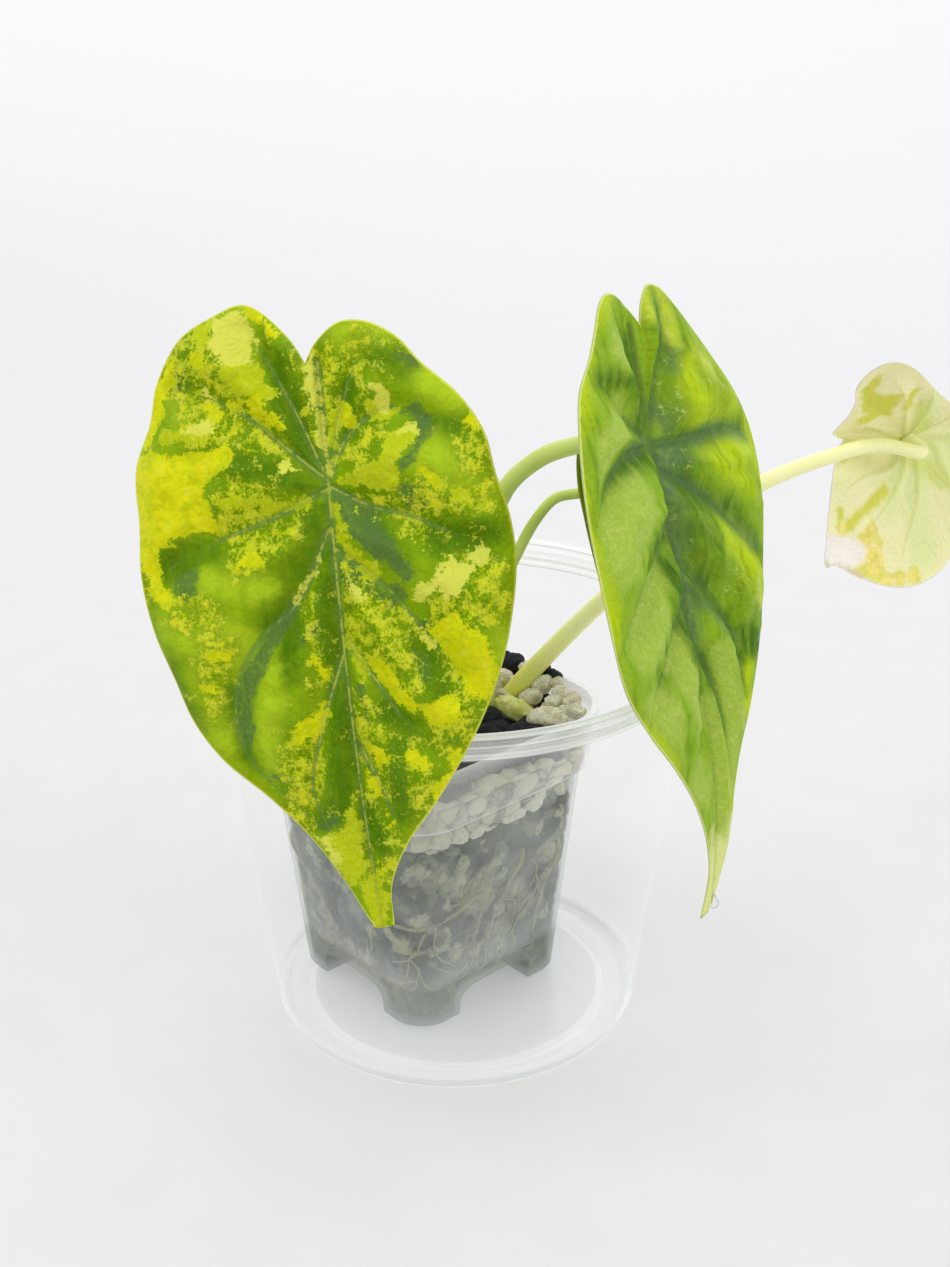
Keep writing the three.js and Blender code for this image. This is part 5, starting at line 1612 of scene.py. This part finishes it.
# %% Stone skins
def stone_group():
    tree, given = new_group("stone_skin", ("Dark", "Pale", "Spots"), (), ("Color", "Height"))
    mm = tree.object_mm()
    fine, broad = tree.noise(mm, 1.3, 6.0, 0.7), tree.noise(mm, 0.4, 4.0, 0.6)
    colour = tree.mix(tree.step(broad, 0.35, 0.65), given["Dark"], given["Pale"])
    pores = tree.node("ShaderNodeTexVoronoi", {"Vector": mm, "Scale": 1.7}).outputs["Distance"]
    # Painted shade: the pores, which are only bumps, are darkened with the Spots colour.
    colour = tree.mix(tree.step(pores, 0.36, 0.12, 0.0, 0.75), colour, given["Spots"])
    colour = tree.mix(tree.step(fine, 0.3, 0.7, 0.0, 0.45), colour, given["Dark"])
    height = tree.plus(tree.times(tree.step(pores, 0.0, 0.3), 0.6), fine)
    tree.node("NodeGroupOutput", {"Color": colour, "Height": height})
    return tree.tree


stone_skin = stone_group()


def stone_material(name, dark, pale, spots):
    plain = {"Roughness": 0.8, "Specular IOR Level": 0.3}
    values = {"Dark": srgb(*dark), "Pale": srgb(*pale), "Spots": srgb(*spots)}
    return skinned_material(name, stone_skin, plain, values, (0.8, 0.0007))


# The third colour of each stone is the painted shade in its pores.
lava = stone_material("black_lava", (20, 24, 27), (44, 50, 54), (10, 11, 12))
pumice = stone_material("pale_pumice", (214, 204, 170), (255, 252, 238), (142, 124, 90))
yellow_stone = stone_material("yellow_stone", (216, 218, 112), (246, 246, 178), (190, 188, 90))
print("stone skin has", len(stone_skin.nodes), "nodes and three colourings")

# %% [markdown]
# In front, where the mix can be seen past the leaves, single stones can be told apart. Chance
# would never lay them right, so those are placed one by one. Each row is x, y, z and the three
# half sizes, in millimetres.

# %% Stones placed one by one
SHOWN_LAVA = [(14.7, 26.4, 75.9, 3, 2.6, 2.6), (12.8, 28.7, 75.9, 2.6, 2.4, 2.2),
              (24.4, 18, 76.1, 2.6, 2.2, 2), (21.6, 22.7, 76.4, 2.4, 2.2, 2),
              (10.6, 1, 70, 3.6, 3.2, 2.6), (15.6, -0.6, 70, 3.8, 3.2, 2.6),
              (19.7, -1, 70, 3.4, 3, 2.6), (6.8, -2.1, 70.5, 3.6, 3.2, 2.8),
              (17.6, 4, 69.4, 3, 3, 2.4), (24, -1.6, 70, 3.2, 3, 2.4),
              (8.6, 5.6, 71.2, 3.2, 3, 2.8)]
SHOWN_PALE = [(12.2, 22.3, 73.7, 2.8, 2.6, 2.4), (18.2, 23.6, 76, 2.2, 2, 2),
              (18.9, 13.5, 72.9, 2.9, 2.4, 2.2), (21.9, 16.4, 75, 3.2, 2.4, 2.2),
              (25.5, 14.9, 75.7, 1.8, 1.6, 1.6), (26.3, 11.5, 74.9, 2.6, 2.2, 2),
              (28.5, 7.9, 74.4, 2.6, 2.4, 2.2), (24.8, 9.3, 73.5, 2.6, 2, 1.9),
              (29.3, 4.5, 73.4, 2.4, 2, 2), (27.2, 5.4, 73, 2.2, 1.9, 1.8),
              (23.5, 4.4, 71.2, 6.2, 3.2, 3), (9.4, 19.2, 71.6, 3, 2.6, 2.4)]
SHOWN_YELLOW = [(14.6, 10.4, 71, 5.8, 3, 3)]
for name, stones, material, slot in (
        ("lava_shown", SHOWN_LAVA, lava, "mix_lava_top"),
        ("pumice_shown", SHOWN_PALE, pumice, "mix_pumice_upper"),
        ("yellow_shown", SHOWN_YELLOW, yellow_stone, "mix_pumice_upper")):
    random = np.random.default_rng(len(name))
    turns = random.uniform((-0.3, -0.3, -0.4), (0.3, 0.3, 0.4), (len(stones), 3))
    scatter_stones(name, [stone[:3] for stone in stones], [stone[3:] for stone in stones], turns,
                   0.0014, material, slot)

# %% [markdown]
# The other stones were poured: black lava on the near side, pale pumice heaped up towards the far
# corner, none of them inside another. A full physics run would also move the placed ones. Spots
# are drawn at random instead, and kept only if they lie inside the pot and leave their neighbours
# room.

# %% Room for loose stones
MIX_TOP, MOUND_RISE = 70.5, 6
CROWDING = 0.78  # how near two stones may come, as a share of their radii together
shown = SHOWN_LAVA + SHOWN_PALE + SHOWN_YELLOW
taken_spots = [(x, y, z, (a + b) / 2) for x, y, z, a, b, _ in shown]


def inside_pot(x, y, reach):
    u, v = map(abs, turned(x - POT["x"], y - POT["y"], math.radians(-POT["turn"])))
    return max(u, v) < reach and u + v < 1.62 * reach


def mound_top(x, y):
    """The mix is heaped up towards the pot's far right corner."""
    return MIX_TOP + MOUND_RISE * smooth_steps(x + y, 22, 46)


def stone_spots(random, count, size, place_z, keep, taken):
    """Spots on the mix for loose stones that don't crowd each other or those already taken."""
    found = list(taken)
    for _ in range(60 * count):
        x, y = random.uniform(-44, 34), random.uniform(-32, 46)
        radius = random.uniform(*size)
        if not inside_pot(x, y, POT["collar"] - 1.4 - radius) or not keep(x, y):
            continue
        if all(math.hypot(x - a, y - b) > CROWDING * (radius + c) for a, b, _, c in found):
            found.append((x, y, place_z(x, y) + random.uniform(-1, 0.6), radius))
        if len(found) >= count + len(taken):
            break
    return found[len(taken):]


print("the mix is heaped from", mound_top(0, 0), "to", mound_top(23, 23), "mm")

# %% [markdown]
# Five seeded lots fill the pot's mouth: two on top that respect the placed stones, two that fill
# the gaps below them, and a bed, so that no hole shows between stones. The lower lots get coarser
# balls, since hardly anything of them is seen.

# %% Heap the stones
def loose_stones(name, seed, count, size, place_z, keep, material, slot, replaces=(), taken=(),
                 detail=4):
    random = np.random.default_rng(seed)
    found = stone_spots(random, count, size, place_z, keep, taken)
    shapes = random.uniform((0.8, 0.75, 0.6), (1.15, 1.0, 0.85), (len(found), 3))
    sizes = shapes * np.array([spot[3] for spot in found])[:, None]
    turns = random.uniform((-0.5, -0.5, 0), (0.5, 0.5, 6.28), (len(found), 3))
    scatter_stones(name, [spot[:3] for spot in found], sizes, turns, 0.0021, material, slot,
                   replaces, detail)


loose_stones("lava_stones", 11, 60, (3.0, 4.6), mound_top, lambda x, y: x + y < 22, lava,
             "mix_lava_top", ("mix_lava_top",), taken_spots)
loose_stones("pumice_stones", 14, 26, (2.2, 3.4), mound_top, lambda x, y: x + y > 20, pumice,
             "mix_pumice_upper", taken=taken_spots)
loose_stones("lava_filling", 16, 70, (3.0, 4.0), lambda x, y: mound_top(x, y) - 4.4,
             lambda x, y: x + y > 18, lava, "mix_lava_top", detail=3)
loose_stones("pumice_mound", 15, 60, (2.8, 3.6), lambda x, y: mound_top(x, y) - 4,
             lambda x, y: x + y > 30, pumice, "mix_pumice_upper", detail=3)
loose_stones("lava_bed", 12, 100, (3.2, 4.6), lambda x, y: 67.5, lambda x, y: True, lava,
             "mix_lava_top", detail=3)

# %% [markdown]
# Roots and stems are round and change thickness along their way. A curve with a bevel would do,
# but its twist is hard to steer. The tube is built ring by ring, and each ring takes over the
# last one's direction, so the skin never twists. Flat ends are closed by fans.

# %% Tubes
def tube(points, radii, sides, flat=1.0):
    """Closed tube along a line, with the same frame carried smoothly from end to end."""
    points = np.asarray(points, float)
    tangents = np.gradient(points, axis=0)
    tangents /= np.linalg.norm(tangents, axis=1)[:, None]
    normal = np.cross(tangents[0], [0.3, 0.9, 0.1])
    cos, sin = np.cos(around(sides))[:, None], np.sin(around(sides))[:, None]
    rings = []
    for centre, tangent, radius in zip(points, tangents, radii):
        normal = normal - tangent * (normal @ tangent)
        normal /= np.linalg.norm(normal)
        side = np.cross(tangent, normal)
        rings.append(centre + radius * (cos * normal + flat * sin * side))
    verts = np.concatenate(rings + [points[:1], points[-1:]])
    count = len(points)
    faces = []
    for i in range(count - 1):
        for k in range(sides):
            a, b = i * sides + k, i * sides + (k + 1) % sides
            faces.append((a, b, b + sides, a + sides))
    for k in range(sides):
        faces.append((count * sides, (k + 1) % sides, k))
        top = (count - 1) * sides
        faces.append((count * sides + 1, top + k, top + (k + 1) % sides))
    return verts, faces


def merge_tubes(name, tubes, slot, replaces=()):
    verts, faces, first = [], [], 0
    for points, quads in tubes:
        verts.append(points)
        faces += [tuple(first + k for k in face) for face in quads]
        first += len(points)
    piece = make_piece(name, np.concatenate(verts), faces, slot, replaces)
    outward(piece)
    print(name, len(faces), "faces")
    return piece

# %% [markdown]
# Roots are pale where young and browner where old. Two colours mixed by noise are enough for
# something so thin, seen through fogged plastic, and one material serves the thick roots, the
# fine ones and the rhizome.

# %% Root skin
def root_material(name, pale, brown):
    material, tree, shader = new_material(name, {"Roughness": 0.6, "Specular IOR Level": 0.3})
    mm = tree.object_mm()
    colour = tree.mix(tree.step(tree.noise(mm, 0.5, 5.0, 0.65), 0.4, 0.7), pale, brown)
    tree.put(shader.inputs["Base Color"], colour)
    tree.put(shader.inputs["Normal"], tree.bump(tree.noise(mm, 1.4, 4.0), 0.4, 0.0004))
    return material


root_skin = root_material("root_skin", srgb(160, 160, 112), srgb(122, 124, 80))
print(root_skin.name, "has", len(root_skin.node_tree.nodes), "nodes")

# %% [markdown]
# The rhizome is the thick stock from which the stems rise. It is a turned bulb with faint rings,
# and its main roots dive into the mix and come up against the pot's wall, where they follow it.
# Roots placed freely would miss that wall. Each is given by bearings and heights on the wall, and
# the wall's own shape says where that is.

# %% Rhizome and main roots
CROWN_X, CROWN_Y, ROOTS_START_Z = 8, 14, 58
CROWN_PROFILE = [(0.3, 48), (4.6, 49), (6.4, 54), (7.6, 60), (8, 64), (7.2, 68.6), (5.2, 69.8),
                 (0.3, 70)]
ROOTS = (((284, 42), (277, 35), (268, 28), (263, 19)),
         ((262, 37), (250, 35), (238, 33), (225, 31.5), (212, 31), (201, 27), (197, 19)),
         ((306, 40), (301, 30), (297, 19)), ((62, 40), (72, 29), (80, 18)),
         ((140, 40), (152, 30), (165, 19)))


def wall_spot(bearing, z, depth):
    """Spot just inside the mix, straight out from the pot's axis."""
    half = body_half(z) - depth
    corner = corner_radius(body_half(z)) - depth
    angle = math.radians(bearing)
    low_share, high_share = sorted((abs(math.cos(angle)), abs(math.sin(angle))))
    reach = half / high_share
    if reach * low_share > half - corner:
        along = (half - corner) * (low_share + high_share)
        reach = along + math.sqrt(along * along - 2 * (half - corner) ** 2 + corner * corner)
    return to_pot([[reach * math.cos(angle), reach * math.sin(angle), z]])[0]


def root_tube(places, radius, seed, steps=70):
    start = np.array([CROWN_X, CROWN_Y, ROOTS_START_Z])
    spots = [wall_spot(bearing, z, 1.4) for bearing, z in places]
    dive = (start + spots[0]) / 2 - [0, 0, 3]
    waver = np.cumsum(np.random.default_rng(seed).normal(0, 0.06, (steps, 3)), 0)
    waver -= np.linspace(0, 1, steps)[:, None] * waver[-1]
    line = smooth_line([start, dive, *spots], steps)
    return tube(line + 0.3 * waver, radius * np.linspace(1.5, 0.5, steps), 10)


def crown_rings():
    rings = []
    for r, z, _ in smooth_line([(r, z, 0) for r, z in CROWN_PROFILE], 40):
        angles = around(36)
        ripple = 1 + 0.05 * np.sin(3 * angles + z / 4) + 0.03 * np.sin(1.9 * z)
        rings.append([(CROWN_X + r * k * math.cos(a), CROWN_Y + r * k * math.sin(a), z)
                      for a, k in zip(angles, ripple)])
    return rings


main_roots = [root_tube(places, 0.6, seed) for seed, places in enumerate(ROOTS)]
rhizome = merge_tubes("rhizome_body", [loft(crown_rings()), *main_roots], "rhizome", ("rhizome",))
rhizome.data.materials.append(root_skin)

# %% [markdown]
# Thin roots wander over the mix just behind the pot's wall. They could be drawn one by one, but
# nobody counts them. Each takes a random walk on the wall, mostly downwards, from one seeded
# generator, so that it comes out the same every time.

# %% Fine roots
def fine_root(random):
    """A thin root that wanders over the mix just behind the pot's wall."""
    bearing, z = random.uniform(222, 300), random.uniform(16, 40)
    heading = random.uniform(-2.6, -0.5)
    spots = []
    for _ in range(random.integers(6, 13)):
        spots.append(wall_spot(bearing, min(max(z, 13), 54), 1.15))
        heading += random.normal(0, 0.45)
        bearing += 4.6 * math.cos(heading)
        z += 3.2 * math.sin(heading)
    return tube(smooth_line(spots, 44), np.linspace(0.3, 0.14, 44) * random.uniform(0.6, 1.1), 6)


random = np.random.default_rng(21)
fine_roots = merge_tubes("rhizome_fine_roots", [fine_root(random) for _ in range(20)], "rhizome")
fine_roots.data.materials.append(root_skin)

# %% [markdown]
# Each leaf hangs on a fleshy stem that rises from the rhizome, arches over and joins the back of
# the blade. The stem is a tube along the CAD model's own line, thick at its foot, slim at the
# top, and flared where it meets the leaf. Its last points follow the blade's own axis, so that
# the joint stays put when a leaf is turned.

# %% Stems
STEMS = {
    "front": ((2.5, 1.7), [(4.2, 10.5, 67.4), (3, 9.5, 82), (-2, 2, 108), (-9, -14, 132),
                           (-17, -33, 146)]),
    "right": ((2.6, 1.9), [(5.4, 17.6, 67.4), (5.6, 17, 82), (8, 12.5, 112), (12.3, 5, 129.1),
                           (19.8, -4, 139.6), (27.5, -15, 146.1), (31.5, -26, 150.5)]),
    "far_right": ((2.7, 1.7), [(11.6, 16.2, 67.6), (14.6, 16.9, 72.6), (36.4, 21.5, 95),
                               (54.8, 26, 108.9), (73.4, 30, 121), (91.2, 35, 126.6),
                               (104, 39.5, 128.2)]),
    "hidden": ((1.7, 1.2), [(8.0, 10.5, 67.4), (8.8, 10.4, 82), (11.6, 10.1, 102),
                            (15.6, 10, 112.5), (20, 10, 120.8), (24.2, 10, 125.4),
                            (29.4, 10, 126.5)]),
}
STEM_STEPS, STEM_SIDES = 110, 28


def make_stem(name):
    (start, end), path = STEMS[name]
    leaf = LEAVES[name]
    out = leaf_axes(leaf)[2]
    ends = [np.array(leaf["place"]) - out * depth for depth in (8, 1.2)]
    share = np.linspace(0, 1, STEM_STEPS)
    radii = mix_value(start, end, np.sqrt(share)) * (1 + 0.012 * np.sin(31 * share))
    radii[-6:] *= np.linspace(1, 1.25, 6)
    line = smooth_line([*path, *ends], STEM_STEPS)
    piece = make_piece(f"stem_{name}_skin", *tube(line, radii, STEM_SIDES, flat=0.94), "stem",
                       (f"stem_{name}",))
    outward(piece)
    add_floats(piece, "along", np.concatenate([np.repeat(share, STEM_SIDES), [0, 1]]))
    return piece


print("stem paths:", {name: len(path) for name, (_, path) in STEMS.items()})

# %% [markdown]
# Stems are smooth and waxy, yellow at the foot, with faint flecks. The place along the stem was
# stored on its points, so the foot's colour needs no painting. The far right stem carries a pale
# leaf and is pale itself; the other three are green.

# %% Stem skin
def stem_group():
    tree, given = new_group("stem_skin", ("Pale", "Paler", "Base"), (), ("Color", "Height"))
    mm = tree.object_mm()
    body = tree.mix(tree.noise(mm, 0.12, 3.0), given["Pale"], given["Paler"])
    colour = tree.mix(tree.step(tree.attribute("along"), 0.25, 0.0), body, given["Base"])
    flecks = tree.step(tree.noise(mm, 1.6, 4.0, 0.7), 0.56, 0.64, 0.0, 0.4)
    colour = tree.mix(flecks, colour, srgb(214, 224, 120))
    tree.node("NodeGroupOutput", {"Color": colour, "Height": tree.noise(mm, 0.9, 3.0)})
    return tree.tree


stem_skin = stem_group()


def stem_material(name, pale, paler, base):
    plain = {"Roughness": 0.42, "Specular IOR Level": 0.25, "Subsurface Weight": 0.25,
             "Subsurface Scale": 0.002}
    values = {"Pale": srgb(*pale), "Paler": srgb(*paler), "Base": srgb(*base)}
    return skinned_material(name, stem_skin, plain, values, (0.15, 0.0003))


pale_stem = stem_material("stem_pale_skin", (246, 250, 166), (254, 255, 204), (226, 224, 96))
green_stem = stem_material("stem_green_skin", (196, 218, 92), (222, 236, 140), (222, 222, 110))
for name in STEMS:
    stem = make_stem(name)
    stem.data.materials.append(pale_stem if name == "far_right" else green_stem)
    print(stem.name, len(stem.data.polygons), "faces")

# %% [markdown]
# A drop of water hangs at the right leaf's tip, where such leaves shed it. A ball would look stuck
# on. Its outline is a small hanging pear, lofted ring by ring, and the clear plastic's veil serves
# for water as well, with a darker edge that is painted refraction.

# %% Water drop
def make_drop():
    leaf = LEAVES["right"]
    x, y, z0 = np.array(leaf["place"]) + np.array([0.2, -100.6, 3.4]) @ leaf_axes(leaf)
    outline = [(0.01, -1.6, 0), (0.75, -1.2, 0), (1, -0.4, 0), (0.75, 0.6, 0), (0.3, 1.4, 0),
               (0.01, 1.9, 0)]
    rings = [[(x + r * math.cos(a), y + r * math.sin(a), z0 + z) for a in around(24)]
             for r, z, _ in smooth_line(outline, 24)]
    drop = make_piece("leaf_right_drop", *loft(rings), "leaf_right")
    outward(drop)
    return drop


drop = make_drop()
# The darker turned colour is painted refraction at the drop's edge.
drop.data.materials.append(clear_plastic(
    "water_drop", face_alpha=0.08, edge_alpha=0.95,
    colours=(srgb(236, 240, 240), srgb(96, 104, 100)),
    roughness=0.02, power=1.4, haze=0.0, bands=(((0, 240, 0.0), (1, 240, 0.0)),)))
print(drop.name, len(drop.data.polygons), "faces")

# %% [markdown] Last, both boxes are worked out: that of the CAD model and that of the dressed plant, whose box is printed.
# They must agree, since the finish may not change the size of the part.

# %% Sizes of the CAD model and of the dressed plant
both_boxes = {"cad": [list(map(float, corner)) for corner in cad_box],
              "visual": [list(map(float, corner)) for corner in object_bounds()]}
print("the dressed plant spans", both_boxes["visual"], "m")
